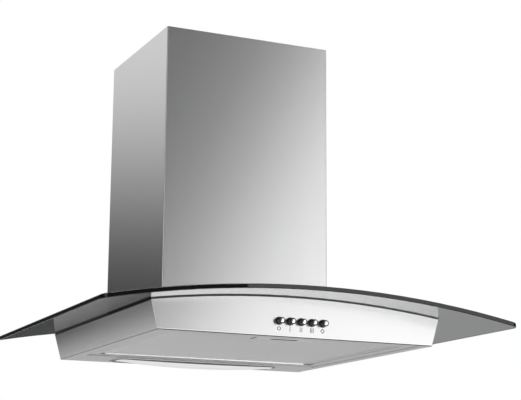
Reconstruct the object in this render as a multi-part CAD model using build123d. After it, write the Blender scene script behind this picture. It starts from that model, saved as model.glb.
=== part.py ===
from build123d import *
import math
import os

# Curved glass range hood, wall hung, 60 cm class. Millimetres.
# +X right, +Y into the wall, -Y to the cook, +Z up.
# Heights here count from the underside of the canopy. The written pieces have their origin
# on the wall plane, on the centre line, midway between the four holes of the wall plate.

# ---------------------------------------------------------------- general
sheet = 1.0                  # stainless sheet of canopy and chimney
paint_gap = 0.05             # gap left between sheets that lie on each other
arc_gap = 0.2                # gap left between curved faces that lie on each other
slip_gap = 0.1               # round or beside a piece that is pushed into its place
overrun = 5.0                # how far a cutter runs past the face it opens

# ---------------------------------------------------------------- glass
glass_width = 600.0
glass_depth = 490.0
glass_thickness = 6.0
glass_under_radius = 1512.0  # bend of the underside, about an axis along Y
glass_under_crest = 54.2     # height of the underside on the centre line
glass_corner_radius = 10.0
glass_polish = 0.8           # chamfer of the polished rim
glass_notch_gap = 2.0        # between the notch and the fan box flange
gasket_thickness = 1.5
gasket_width = 9.0
gasket_setback = 1.0         # from the outer face of the canopy

# ---------------------------------------------------------------- canopy body
canopy_bottom_width = 405.0
canopy_bottom_depth = 422.0
canopy_side_lean = 15.65     # degrees, sides flare out as they rise
canopy_front_lean = 2.1      # degrees
canopy_fold_radius = 2.0     # front bottom fold
canopy_corner_radius = 1.2   # other folds
side_flange_width = 14.5     # bottom flange, side
front_flange_width = 7.0     # bottom flange, front
rear_shelf_depth = 81.0      # bottom sheet behind the filter panel, holds the lamp
panel_lap = 5.0              # how far the filter panel lies over the flanges

# ---------------------------------------------------------------- chimney
chimney_width = 262.0
chimney_depth = 242.0
chimney_top = 472.0
chimney_bend_radius = 2.0
chimney_return = 16.0        # rear flanges along the wall
slide_gap = 0.6              # between upper and lower chimney
upper_bend_radius = 1.0
upper_overlap = 75.0         # that stays inside the lower chimney when drawn out
upper_top_drop = 1.0         # upper chimney's top below the lower one's
slot_count = 8
slot_length = 50.0
slot_width = 4.0
slot_pitch = 9.0
slot_top_gap = 34.0          # from the top of the upper chimney to the first slot
bracket_height = 24.0
bracket_drop = 3.0           # below the top of the upper chimney
bracket_ear_depth = 22.0
bracket_hole_radius = 3.0
bracket_hole_spacing = 120.0
tab_width = 22.0             # foot tabs of the lower chimney
tab_past_head = 2.0          # tab's inner end beyond the screw's head

# ---------------------------------------------------------------- fan box and wall plate
fan_box_side_gap = 36.0      # chimney outside to fan box outside
fan_box_front_gap = 28.0
fan_box_sheet = 0.8
fan_box_flange = 12.0
throat_lip = 1.0             # fan box wall to the cut-out of the deck
box_screw_rear = 30.0        # rear flange screws, from the wall
wall_plate_thickness = 1.5
wall_plate_side_gap = 3.0    # plate edge to the chimney's rear return
wall_plate_bottom_gap = 6.0
wall_hole_radius = 4.0
wall_hole_inset = 9.0        # hole centre from the edge of the ear
wall_hole_spacing = 190.0    # up the plate
lid_thickness = 1.0

# ---------------------------------------------------------------- blower
scroll_wall = 2.0
scroll_width = 86.0
scroll_growth = 28.0         # spiral radius gained over its sweep
scroll_margin = 8.4          # fan box wall to scroll
scroll_floor_gap = 20.0
scroll_start_angle = 60.0    # where the tongue is
tongue_clearance = 6.0       # impeller to tongue
outlet_rise = 40.0           # top of the spiral to the foot of the diffuser
diffuser_height = 37.0
diffuser_left = 30.0         # inner edge of the diffuser foot from the duct's edge
scroll_flange_inset = 3.0    # blower's square flange inside the collar's edge
scroll_flange_height = 3.0
inlet_margin = 8.0           # impeller rim to inlet edge
impeller_end_gap = 3.0
blade_count = 32
blade_depth = 11.0
blade_thickness = 1.2
blade_sweep = 8.5            # degrees the blade leans forward
impeller_ring = 3.0
impeller_disc = 2.5
hub_radius = 11.0
hub_length = 26.0
shaft_radius = 4.0
shaft_clearance = 0.05
shaft_in_motor = 18.0
shaft_past_hub = 2.0
motor_radius = 40.0
motor_end_clearance = 9.0
motor_boss_radius = 12.0
motor_boss_length = 4.0
motor_fillet = 4.0
bracket_ring_width = 9.0
bracket_sheet = 2.0
bracket_arm_width = 12.0
bracket_arm_count = 3
capacitor_radius = 14.0
capacitor_length = 52.0
capacitor_centre_z = 200.0
capacitor_fillet = 1.5
clip_width = 14.0
clip_sheet = 1.0
clip_foot = 8.0              # beyond the capacitor on either side

# ---------------------------------------------------------------- outlet
duct_radius = 75.0           # outside of the spigot
spigot_wall = 2.2
spigot_height = 44.0
collar_flange = 13.0
collar_screw_inset = 9.0     # from the collar's edge
collar_flange_thickness = 2.5
collar_lip = 3.5             # ledge that the flaps rest on
collar_lip_height = 2.0
collar_rib_half = 2.6
flap_thickness = 1.2
flap_rim_gap = 1.0
flap_axis_offset = 3.2       # hinge line from the centre line
flap_knuckle_radius = 1.8
flap_pin_radius = 1.2
flap_pin_clearance = 0.08
flap_rest_gap = 0.3

# ---------------------------------------------------------------- terminal box
terminal_depth = 80.0
terminal_height = 70.0
terminal_wall = 2.0
terminal_chimney_gap = 7.0
terminal_centre_z = 200.0
terminal_corner = 3.0
strip_length = 42.0
strip_width = 12.0
strip_height = 16.0
strip_rise = 12.0            # above the floor of the box
strip_hole_radius = 3.0
strip_hole_pitch = 13.0
strip_hole_depth = 8.0
gland_radius = 9.0
gland_thread_radius = 6.9
gland_thread_length = 3.0    # inside the box
gland_bore_radius = 3.8
gland_length = 22.0
gland_nut_height = 8.0
gland_nut_across = 22.0
gland_fillet = 2.0

# ---------------------------------------------------------------- grease filter
opening_width = 348.0
opening_rear = 97.0          # from the wall
opening_front = 396.0
well_height = 11.0           # turned-up edge of the opening
filter_gap = 0.5
filter_recess = 2.0          # filter face above the panel face
filter_height = 9.0
filter_lip = 8.0
filter_sheet = 0.8
filter_corner = 2.0
mesh_gap = 0.1
mesh_skin = 0.4
mesh_pitch = 24.0            # of the corrugated layer
hinge_gap = 1.1              # opening wall to the rear of the frame
tab_seat_gap = 0.6
tab_thickness = 1.0
tab_reach = 8.0
tab_length = 20.0
tab_offset = 110.0
latch_setback = 24.0         # finger slot from the front of the opening
pocket_width = 88.0
pocket_depth = 30.0
pocket_sheet = 1.0
pocket_proud = 0.8           # plate below the mesh face
finger_width = 40.0
finger_thickness = 2.0
latch_travel = 5.0
latch_width = 20.0
latch_thickness = 1.6
latch_nose = 3.5             # past the wall of the opening
latch_tail = 6.0             # behind the finger bar's middle
latch_clearance = 0.3

# ---------------------------------------------------------------- lamp
lens_length = 262.0
lens_depth = 50.0
lens_corner = 12.0
lens_rear = 20.0             # from the wall
lens_gap = 1.5
lens_hole_corner = 7.0       # sharper than the lens, whose rear corners swing up through it
lens_wall = 2.0
lens_bulge = 7.5             # crown below the rim
lens_end_rise = 6.0          # how much less the crown is at the ends
lens_rim_low = -0.5
lens_rim_high = 1.5
lens_rim_step = 1.5
lens_axis_inset = 4.0        # hinge line from the rear edge
lens_axis_height = 2.8
lens_pin_radius = 1.4
lens_pin_clearance = 0.1
lens_ear = 5.0               # thickness of the ears that carry the pins
lens_ear_half = 2.5
lens_ear_cover = 1.5         # above the pin's middle
lens_ear_inset = 2.0         # inwards of the rounded corner
lens_pin_reach = 0.4         # beyond the tray
tray_sheet = 0.8
tray_margin = 4.0            # lens edge to tray
tray_top_gap = 1.5
holder_radius = 11.0
holder_length = 24.0
bulb_radius = 16.0
bulb_length = 72.0
bulb_neck_radius = 8.0
bulb_shoulder = (0.3, 0.97)  # share of the length, share of the radius
bulb_belly = (0.45, 1.0)
bulb_waist = (0.75, 0.55)
lamp_rise = 1.0              # lamp axis above the middle of the tray
base_radius = 6.8
base_length = 16.0

# ---------------------------------------------------------------- controls
button_pitch = 16.1
button_height = 21.2         # up the panel
button_radius = 4.3
button_protrusion = 10.0
button_travel = 4.0
button_edge = 0.7
button_skirt = 6.0           # cap length behind the panel face
stem_radius = 2.5
stem_length = 10.0
bezel_radius = 5.5
bezel_height = 1.2
bezel_bore_gap = 0.1
bezel_neck_radius = 4.9
bezel_neck_length = 4.0
housing_half_height = 7.5
housing_end = 14.0           # beyond the last button
housing_depth = 21.0
board_thickness = 1.4
housing_screw_inset = 4.0
small_screw_radius = 1.5
small_head_radius = 2.8
small_head_height = 2.0

# ---------------------------------------------------------------- fasteners
glass_screw_x = 120.0
glass_screw_rear = 86.0
glass_screw_front = 200.0
screw_radius = 2.0
screw_head_radius = 4.2
screw_head_height = 2.6
washer_radius = 7.0
washer_thickness = 1.5
glass_hole_radius = 4.5
screw_hole_gap = 0.2
screw_slot_length = 6.0
screw_slot_width = 0.9
screw_slot_depth = 1.1
screw_past_nut = 1.5
nut_height = 3.2
nut_across = 7.0
box_screw_reach = 3.0        # below the deck
collar_screw_reach = 2.0     # below the blower's flange

# ---------------------------------------------------------------- worked out from the above
arc_centre_z = glass_under_crest - glass_under_radius
glass_top_radius = glass_under_radius + glass_thickness
body_radius = glass_under_radius - gasket_thickness
body_crest = arc_centre_z + body_radius
side_slope = math.tan(math.radians(canopy_side_lean))
front_slope = math.tan(math.radians(canopy_front_lean))
canopy_half = canopy_bottom_width / 2

fan_half = chimney_width / 2 - fan_box_side_gap
fan_front = -(chimney_depth - fan_box_front_gap)
fan_back = -(wall_plate_thickness + arc_gap)
fan_centre_y = (fan_front + fan_back) / 2
fan_inner_half = fan_half - fan_box_sheet

spiral_share = (180 - scroll_start_angle) / (360 - scroll_start_angle)
bottom_share = (270 - scroll_start_angle) / (360 - scroll_start_angle)
scroll_room = 2 * fan_inner_half - 2 * scroll_margin - 2 * scroll_wall
scroll_start = (scroll_room - scroll_growth * (1 + spiral_share)) / 2
scroll_end = scroll_start + scroll_growth
impeller_radius = scroll_start - tongue_clearance
fan_centre_x = fan_inner_half - scroll_margin - scroll_wall - scroll_end
scroll_low = scroll_start + scroll_growth * bottom_share + scroll_wall
fan_centre_z = body_crest + scroll_floor_gap + scroll_low
diffuser_foot = fan_centre_z + scroll_start + outlet_rise
lid_under = diffuser_foot + diffuser_height
lid_top = lid_under + lid_thickness
scroll_rear = fan_centre_y + scroll_width / 2
scroll_front = fan_centre_y - scroll_width / 2
duct_inner = duct_radius - spigot_wall
outlet_radius = duct_inner - collar_lip
flap_axis_z = lid_top + collar_flange_thickness + collar_lip_height + flap_rest_gap + flap_knuckle_radius

panel_low = sheet + paint_gap
panel_high = panel_low + sheet
opening_half = opening_width / 2
filter_low = panel_low + filter_recess
filter_high = filter_low + filter_height
filter_half = opening_half - filter_gap
filter_front = -(opening_front - filter_gap)
filter_rear = -(opening_rear + hinge_gap)
filter_hinge_y = -(opening_rear - sheet / 2)

lens_front = lens_rear + lens_depth
lens_mid_y = -(lens_rear + lens_depth / 2)
lens_axis_y = -(lens_rear + lens_axis_inset)
tray_half = lens_length / 2 + lens_gap + tray_sheet
tray_rear = -(lens_rear - tray_margin)
tray_front = -(lens_front + tray_margin)


def arc_z(radius, x):
    """Height of the bend of this radius at this distance from the centre line."""
    return arc_centre_z + math.sqrt(radius ** 2 - x ** 2)


tray_top = arc_z(body_radius - sheet, tray_half) - tray_top_gap
lamp_z = (tray_top - tray_sheet + lens_rim_high) / 2 + lamp_rise


def block(x0, x1, y0, y1, z0, z1):
    """Box between two corners."""
    centre = Pos((x0 + x1) / 2, (y0 + y1) / 2, (z0 + z1) / 2)
    return centre * Box(abs(x1 - x0), abs(y1 - y0), abs(z1 - z0))


def rod_y(x, z, radius, y0, y1):
    """Cylinder along Y between two depths."""
    return Pos(x, (y0 + y1) / 2, z) * Rot(90, 0, 0) * Cylinder(radius, abs(y1 - y0))


def rod_x(y, z, radius, x0, x1):
    """Cylinder along X between two places."""
    return Pos((x0 + x1) / 2, y, z) * Rot(0, 90, 0) * Cylinder(radius, abs(x1 - x0))


def rod_z(x, y, radius, z0, z1):
    """Upright cylinder between two heights."""
    return Pos(x, y, (z0 + z1) / 2) * Cylinder(radius, abs(z1 - z0))


def arc_slab(half_width, y_back, y_front, radius_low, radius_high):
    """Sheet bent about the canopy's axis, with upright side faces."""
    low = arc_z(radius_low, half_width)
    high = arc_z(radius_high, half_width)
    under = ThreePointArc((-half_width, low), (0, arc_z(radius_low, 0)), (half_width, low))
    over = ThreePointArc((half_width, high), (0, arc_z(radius_high, 0)), (-half_width, high))
    outline = under + Line((half_width, low), (half_width, high)) + over
    outline += Line((-half_width, high), (-half_width, low))
    face = Plane.XZ * make_face(outline)
    return Pos(0, y_back, 0) * extrude(face, amount=y_back - y_front)


def radial_place(x, y):
    """Place on the bend above a point, with local Z square to the glass."""
    angle = math.degrees(math.asin(x / glass_under_radius))
    return Pos(0, y, arc_centre_z) * Rot(0, angle, 0)


def radial_rod(x, y, radius, r0, r1):
    """Cylinder square to the glass between two radii of the bend."""
    return radial_place(x, y) * Pos(0, 0, (r0 + r1) / 2) * Cylinder(radius, r1 - r0)


def side_x(z, inset):
    """Half width of the canopy at a height, less the inset square to its side."""
    return canopy_half + side_slope * z - inset * math.hypot(1, side_slope)


def front_y(z, inset):
    """Front of the canopy at a height, less the inset square to its front."""
    return -(canopy_bottom_depth + front_slope * z - inset * math.hypot(1, front_slope))


def canopy_block(inset, z_low, z_high, y_back):
    """Solid with the canopy's leaning sides and front, flat at top and bottom."""
    low, high = side_x(z_low, inset), side_x(z_high, inset)
    across = make_face(Polyline((-low, z_low), (low, z_low), (high, z_high), (-high, z_high), close=True))
    deep = canopy_bottom_depth * 1.2
    wedge = Pos(0, y_back, 0) * extrude(Plane.XZ * across, amount=deep)
    reach = canopy_half * 2
    side = make_face(Polyline((y_back, z_low), (front_y(z_low, inset), z_low),
                              (front_y(z_high, inset), z_high), (y_back, z_high), close=True))
    profile = Pos(-reach, 0, 0) * extrude(Plane.YZ * side, amount=2 * reach)
    return wedge & profile


def under_bend(radius):
    """Everything below the bend of this radius, over the canopy."""
    half = canopy_bottom_width
    return arc_slab(half, overrun, -canopy_bottom_depth * 1.2, body_radius - canopy_bottom_width, radius)


def panel_place(x, height):
    """Place on the front panel's outer face, local Z straight out of it."""
    out = (0, -math.cos(math.radians(canopy_front_lean)), -math.sin(math.radians(canopy_front_lean)))
    return Plane(origin=(x, front_y(height, 0), height), x_dir=(1, 0, 0), z_dir=out).location


def button_places():
    """The five buttons, from the left."""
    return [panel_place((index - 2) * button_pitch, button_height) for index in range(5)]


def plug(radius, z0, z1):
    """Cylinder on local Z between two depths."""
    return Pos(0, 0, (z0 + z1) / 2) * Cylinder(radius, z1 - z0)


def rounded_box(length, depth, corner, z0, z1, x, y):
    """Upright prism with rounded corners."""
    outline = RectangleRounded(length, depth, corner)
    return Pos(x, y, z0) * extrude(outline, amount=z1 - z0)


# ================================================================ canopy
def canopy_shell():
    """Front, sides and bottom flanges folded from one sheet."""
    outer = canopy_block(0, 0, glass_under_crest + overrun, 0)
    front_edge = outer.edges().filter_by_position(Axis.Z, -0.01, 0.01).sort_by(Axis.Y)[0]
    outer = fillet(front_edge, canopy_fold_radius)
    upright = [edge for edge in outer.edges() if edge.bounding_box().size.Z > glass_under_crest / 2
               and edge.center().Y < -canopy_bottom_depth / 2]
    outer = fillet(upright, canopy_corner_radius)
    shell = outer & under_bend(body_radius)
    shell -= canopy_block(sheet, sheet, glass_under_crest + 2 * overrun, overrun)
    inner_half = canopy_half - side_flange_width
    shell -= block(-inner_half, inner_half, -rear_shelf_depth,
                   -(canopy_bottom_depth - front_flange_width), -overrun, sheet + 0.5)
    shell -= rounded_box(lens_length + 2 * lens_gap, lens_depth + 2 * lens_gap, lens_hole_corner,
                         -overrun, sheet + 0.5, 0, lens_mid_y)
    for place in button_places():
        shell -= place * plug(bezel_neck_radius + screw_hole_gap, -overrun, overrun)
    return shell


def underside_panel():
    """Sheet over the bottom flanges with the filter's opening and its turned-up edge."""
    wide = canopy_half - side_flange_width + panel_lap
    back = -(rear_shelf_depth - panel_lap)
    front = -(canopy_bottom_depth - front_flange_width + panel_lap)
    rear_wall, front_wall = -(opening_rear - sheet), -(opening_front + sheet)
    well_top = panel_high + well_height
    nose_half = latch_width / 2 + 2 * latch_clearance
    panel = block(-wide, wide, front, back, panel_low, panel_high)
    panel += block(-opening_half - sheet, opening_half + sheet, front_wall, rear_wall, panel_low, well_top)
    panel -= block(-opening_half, opening_half, -opening_front, -opening_rear, -overrun, well_top + overrun)
    panel -= block(-opening_half - 2 * sheet, opening_half + 2 * sheet, -opening_rear - hinge_gap,
                   rear_wall + overrun, filter_low, well_top + overrun)
    panel -= block(-nose_half, nose_half, front_wall - 1, -opening_front + 1,
                   latch_low - 2 * latch_clearance, latch_high + 2 * latch_clearance)
    return panel


def top_deck():
    """Curved sheet below the glass with the fan's throat."""
    deck = canopy_block(sheet + slip_gap, 0, glass_under_crest + overrun, -(sheet + slip_gap))
    deck &= arc_slab(canopy_bottom_width, overrun, -canopy_bottom_depth * 1.2,
                     body_radius - sheet, body_radius)
    throat = fan_inner_half - throat_lip
    throat_front = fan_front + fan_box_sheet + throat_lip
    deck -= block(-throat, throat, throat_front, tray_front - overrun, 0, 2 * glass_under_crest)
    for x, y in glass_screw_places():
        deck -= radial_rod(x, y, screw_radius + screw_hole_gap, body_radius - 10, body_radius + 10)
    for x, y in box_screw_places():
        deck -= radial_rod(x, y, small_screw_radius + screw_hole_gap, body_radius - 10, body_radius + 10)
    return deck


def rear_panel():
    """Sheet that closes the canopy against the wall."""
    panel = canopy_block(sheet + slip_gap, panel_low, glass_under_crest + overrun, 0)
    panel &= under_bend(body_radius)
    return panel & block(-canopy_bottom_width, canopy_bottom_width, -sheet, 0, 0, 2 * glass_under_crest)


# ================================================================ glass
def glass_screw_places():
    return [(side * glass_screw_x, -depth) for side in (-1, 1)
            for depth in (glass_screw_rear, glass_screw_front)]


def notch_cutter():
    """Room in glass and gasket for the foot of the fan box."""
    half = fan_half + fan_box_flange + glass_notch_gap
    front = fan_front - fan_box_flange - glass_notch_gap
    return block(-half, half, front, overrun, 0, 2 * glass_under_crest)


def long_rim(pane):
    """Edges round the front and sides of the pane's two broad faces."""
    broad = pane.faces().sort_by(SortBy.AREA)[-2:]
    return [edge for face in broad for edge in face.edges() if edge.center().Y < -1]


def glass_canopy():
    """One bent pane, open at the back around the fan box."""
    pane = arc_slab(glass_width / 2, 0, -glass_depth, glass_under_radius, glass_top_radius)
    corners = [edge for edge in pane.edges().filter_by(Axis.Z) if edge.center().Y < -glass_depth / 2]
    pane = fillet(corners, glass_corner_radius)
    pane = chamfer(long_rim(pane), glass_polish)
    pane -= notch_cutter()
    for x, y in glass_screw_places():
        pane -= radial_rod(x, y, glass_hole_radius, glass_under_radius - 5, glass_top_radius + 5)
    return pane


def glass_gasket():
    """Black strip between the top edge of the canopy and the glass."""
    ring = arc_slab(canopy_bottom_width, overrun, -canopy_bottom_depth * 1.2,
                    body_radius + paint_gap, glass_under_radius - paint_gap)
    outer = canopy_block(gasket_setback, 0, glass_under_crest + overrun, 0)
    inner = canopy_block(gasket_setback + gasket_width, -overrun, glass_under_crest + 2 * overrun,
                         -gasket_width)
    return (ring & outer) - inner - notch_cutter()


washer_low = glass_top_radius + paint_gap
washer_high = washer_low + washer_thickness
tab_low = washer_high + paint_gap
tab_high = tab_low + sheet


def glass_bushes():
    """Rubber bushes that keep the screws off the glass."""
    bushes = []
    for x, y in glass_screw_places():
        bush = radial_rod(x, y, washer_radius, washer_low, washer_high)
        bush += radial_rod(x, y, glass_hole_radius - slip_gap, body_radius + paint_gap, washer_low)
        bushes.append(bush - radial_rod(x, y, screw_radius + slip_gap, body_radius - 5, washer_high + 5))
    return Compound(bushes)


def glass_screws():
    """Screws through the glass; the front pair also holds the chimney's feet."""
    screws = []
    for x, y in glass_screw_places():
        seat = (tab_high if y == -glass_screw_front else washer_high) + paint_gap
        head = radial_rod(x, y, screw_head_radius, seat, seat + screw_head_height)
        slot = Box(screw_slot_length, screw_slot_width, 2 * screw_slot_depth)
        head -= radial_place(x, y) * Pos(0, 0, seat + screw_head_height) * slot
        tip = body_radius - sheet - nut_height - screw_past_nut
        screws.append(head + radial_rod(x, y, screw_radius, tip, seat))
    return Compound(screws)


def glass_nuts():
    """Nuts under the deck."""
    nuts = []
    for x, y in glass_screw_places():
        hexagon = RegularPolygon(nut_across / math.sqrt(3), 6) - Circle(screw_radius)
        low = body_radius - sheet - nut_height - arc_gap
        nuts.append(radial_place(x, y) * Pos(0, 0, low) * extrude(hexagon, amount=nut_height))
    return Compound(nuts)


# ================================================================ chimney
def bent_channel(half, y_front, y_rear, corner, z_low, z_high):
    """Upright sheet channel, open to the wall but for its two rear returns."""
    lip = chimney_width / 2 - chimney_return
    outer = block(-half, half, y_front, y_rear, z_low, z_high)
    folds = [edge for edge in outer.edges().filter_by(Axis.Z) if edge.center().Y < (y_front + y_rear) / 2]
    outer = fillet(folds, corner)
    inner = block(-half + sheet, half - sheet, y_front + sheet, y_rear - sheet, z_low - 1, z_high + 1)
    folds = [edge for edge in inner.edges().filter_by(Axis.Z) if edge.center().Y < (y_front + y_rear) / 2]
    inner = fillet(folds, max(corner - sheet, 0.3))
    return outer - inner - block(-lip, lip, y_rear - 2 * sheet, y_rear + 1, z_low - 1, z_high + 1)


def lower_chimney():
    """Fixed chimney that stands on the glass, with two foot tabs."""
    half = chimney_width / 2
    channel = bent_channel(half, -chimney_depth, 0, chimney_bend_radius, 0, chimney_top)
    channel -= under_bend(glass_top_radius + arc_gap)
    inner_edge = glass_screw_x - screw_head_radius - tab_past_head
    tabs = arc_slab(half - sheet / 2, -glass_screw_front + tab_width / 2, -glass_screw_front - tab_width / 2,
                    tab_low, tab_high)
    tabs -= block(-inner_edge, inner_edge, 0, -chimney_depth, 0, chimney_top)
    for side in (-1, 1):
        tabs -= radial_rod(side * glass_screw_x, -glass_screw_front, screw_radius + screw_hole_gap,
                           tab_low - 5, tab_high + 5)
    return channel + tabs


def upper_chimney():
    """Sliding chimney with the recirculation slots near its top."""
    half = upper_half
    channel = bent_channel(half, upper_front, upper_rear, upper_bend_radius, upper_bottom, upper_top)
    for index in range(slot_count):
        z = upper_top - slot_top_gap - index * slot_pitch
        y = (upper_front + upper_rear) / 2
        slot = Rot(0, 90, 0) * extrude(SlotOverall(slot_length, slot_width, rotation=90), amount=2 * half + 2)
        channel -= Pos(-half - 1, y, z) * slot
    for side in (-1, 1):
        channel -= rod_x(bracket_screw_y, bracket_z, small_screw_radius + slip_gap,
                         side * (half - 4), side * (half + 1))
    return channel


upper_half = chimney_width / 2 - sheet - slide_gap
upper_front = -(chimney_depth - sheet - slide_gap)
upper_rear = -(sheet + slide_gap)
upper_bottom = arc_centre_z + glass_top_radius + overrun
upper_top = chimney_top - upper_top_drop
bracket_jog_y = upper_rear - sheet - slide_gap
bracket_screw_y = bracket_jog_y - sheet - bracket_ear_depth / 2
bracket_z = upper_top - bracket_height / 2 - bracket_drop
upper_travel = chimney_top - upper_bottom - upper_overlap


def upper_chimney_bracket():
    """Bracket that is screwed to the wall and holds the top of the upper chimney."""
    low, high = bracket_z - bracket_height / 2, bracket_z + bracket_height / 2
    plate_half = wall_plate_half
    outer = upper_half - sheet - paint_gap
    bracket = block(-plate_half, plate_half, -sheet, 0, low, high)
    for side in (-1, 1):
        bracket += block(side * (plate_half - sheet), side * plate_half, bracket_jog_y - sheet, 0, low, high)
        bracket += block(side * (plate_half - sheet), side * outer, bracket_jog_y - sheet, bracket_jog_y,
                         low, high)
        bracket += block(side * (outer - sheet), side * outer, bracket_jog_y - sheet - bracket_ear_depth,
                         bracket_jog_y, low, high)
        bracket -= rod_x(bracket_screw_y, bracket_z, small_screw_radius + slip_gap,
                         side * (outer - 3), side * (outer + 1))
        bracket -= rod_y(side * bracket_hole_spacing / 2, bracket_z, bracket_hole_radius, -3, 1)
    return bracket


def chimney_screws():
    """Screws from inside that join the bracket and the upper chimney."""
    inside = upper_half - 2 * sheet - 2 * paint_gap
    screws = []
    for side in (-1, 1):
        seat, tip = side * inside, side * (upper_half - slip_gap)
        head = rod_x(bracket_screw_y, bracket_z, small_head_radius, seat - side * small_head_height, seat)
        screws.append(head + rod_x(bracket_screw_y, bracket_z, small_screw_radius, seat, tip))
    return Compound(screws)


# ================================================================ fan box
wall_plate_half = chimney_width / 2 - chimney_return - wall_plate_side_gap
wall_hole_x = wall_plate_half - wall_hole_inset
wall_plate_low = arc_centre_z + glass_top_radius + wall_plate_bottom_gap
wall_hole_z = (wall_plate_low + lid_under) / 2


def box_screw_places():
    x = fan_half + fan_box_flange / 2
    return [(side * x, y) for side in (-1, 1) for y in (fan_front, -box_screw_rear)]


def fan_box():
    """Sheet box round the blower, flanged onto the deck."""
    inner = block(-fan_inner_half, fan_inner_half, fan_front + fan_box_sheet, fan_back - fan_box_sheet,
                  0, lid_under + 1)
    box = block(-fan_half, fan_half, fan_front, fan_back, 0, lid_under) - inner
    box -= under_bend(body_radius + arc_gap)
    flange = arc_slab(fan_half + fan_box_flange, fan_back, fan_front - fan_box_flange,
                      body_radius + arc_gap, body_radius + arc_gap + fan_box_sheet) - inner
    for x, y in box_screw_places():
        flange -= radial_rod(x, y, small_screw_radius + screw_hole_gap, body_radius - 5, body_radius + 5)
    return box + flange


def fan_box_screws():
    """Screws through the flange into the deck."""
    seat = body_radius + arc_gap + fan_box_sheet + paint_gap
    return Compound([radial_rod(x, y, small_head_radius, seat, seat + small_head_height)
                     + radial_rod(x, y, small_screw_radius, body_radius - sheet - box_screw_reach, seat)
                     for x, y in box_screw_places()])


def fan_box_lid():
    """Top of the fan box."""
    lid = block(-fan_half, fan_half, fan_front, fan_back, lid_under, lid_top)
    lid -= rod_z(0, fan_centre_y, outlet_radius, lid_under - 1, lid_top + 1)
    for x, y in collar_screw_places():
        lid -= rod_z(x, y, small_screw_radius + screw_hole_gap, lid_under - 1, lid_top + 1)
    return lid


def wall_plate():
    """Plate behind the fan box that carries the hood on the wall."""
    plate = block(-wall_plate_half, wall_plate_half, -wall_plate_thickness, 0, wall_plate_low, lid_under)
    for side in (-1, 1):
        for rise in (-1, 1):
            z = wall_hole_z + rise * wall_hole_spacing / 2
            plate -= rod_y(side * wall_hole_x, z, wall_hole_radius, -5, 5)
    return plate


# ================================================================ blower
def polar(radius, degrees):
    """Point round the fan's axis, seen from the front."""
    angle = math.radians(degrees)
    return (fan_centre_x + radius * math.cos(angle), fan_centre_z + radius * math.sin(angle))


def scroll_face(extra):
    """Spiral and outlet channel, grown by the wall when extra is given."""
    def rim(degrees):
        share = (degrees - scroll_start_angle) / (360 - scroll_start_angle)
        return polar(scroll_start + scroll_growth * share + extra, degrees)
    steps = [scroll_start_angle + (360 - scroll_start_angle) * index / 10 for index in range(11)]
    spiral = make_face(Spline(*[rim(step) for step in steps]) + Line(rim(360), rim(scroll_start_angle)))
    tongue_x, tongue_z = polar(scroll_start, scroll_start_angle)
    right = fan_centre_x + scroll_end + extra
    top = diffuser_foot + (0 if extra else 1)
    lean = math.atan2(top - tongue_z, diffuser_foot_left - tongue_x) + math.pi / 2
    shift_x, shift_z = extra * math.cos(lean), extra * math.sin(lean)
    channel = make_face(Polyline((diffuser_foot_left - extra, top), (right, top), (right, fan_centre_z),
                                 (fan_centre_x, fan_centre_z), (tongue_x + shift_x, tongue_z + shift_z),
                                 close=True))
    return spiral + channel


diffuser_foot_left = -(duct_inner - diffuser_left)
inlet_radius = impeller_radius - inlet_margin
collar_half = duct_radius + collar_flange
scroll_flange_half = collar_half - scroll_flange_inset


def along_y(face, y_back, y_front):
    """Prism between two depths from a face drawn in X and Z."""
    return Pos(0, y_back, 0) * extrude(Plane.XZ * face, amount=y_back - y_front)


def duct_loft(extra, width):
    """Solid that runs from the channel's rectangle to the round outlet."""
    left, right = diffuser_foot_left - extra, fan_centre_x + scroll_end + extra
    foot = Pos((left + right) / 2, fan_centre_y, diffuser_foot) * Rectangle(right - left, width)
    top = Pos(0, fan_centre_y, lid_under - paint_gap) * Circle(outlet_radius + extra)
    return loft([foot, top])


def scroll_body():
    """Whole plastic volute."""
    body = along_y(scroll_face(scroll_wall), scroll_rear, scroll_front)
    body -= along_y(scroll_face(0), scroll_rear - scroll_wall, scroll_front + scroll_wall)
    body -= rod_y(fan_centre_x, fan_centre_z, inlet_radius, scroll_front - 1, scroll_rear + 1)
    body += duct_loft(scroll_wall, scroll_width) - duct_loft(0, scroll_width - 2 * scroll_wall)
    flange = block(-scroll_flange_half, scroll_flange_half, fan_centre_y - scroll_flange_half,
                   fan_centre_y + scroll_flange_half, lid_under - scroll_flange_height, lid_under - paint_gap)
    flange = fillet(flange.edges().filter_by(Axis.Z), collar_flange / 2)
    below = lid_under - 2 * scroll_flange_height
    flange -= rod_z(0, fan_centre_y, outlet_radius + scroll_wall / 2, below, lid_top)
    for x, y in collar_screw_places():
        flange -= rod_z(x, y, small_screw_radius + slip_gap, below, lid_top)
    return body + flange


def scroll_half(rear):
    """One of the two shells that the volute is made of."""
    reach = 2 * chimney_width
    if rear:
        return scroll_body() & block(-reach, reach, fan_centre_y, reach, 0, chimney_top)
    return scroll_body() & block(-reach, reach, -reach, fan_centre_y, 0, chimney_top)


def collar_screw_places():
    """Four screws in the corners of the collar."""
    reach = collar_half - collar_screw_inset
    return [(side * reach, fan_centre_y + way * reach) for side in (-1, 1) for way in (-1, 1)]


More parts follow.
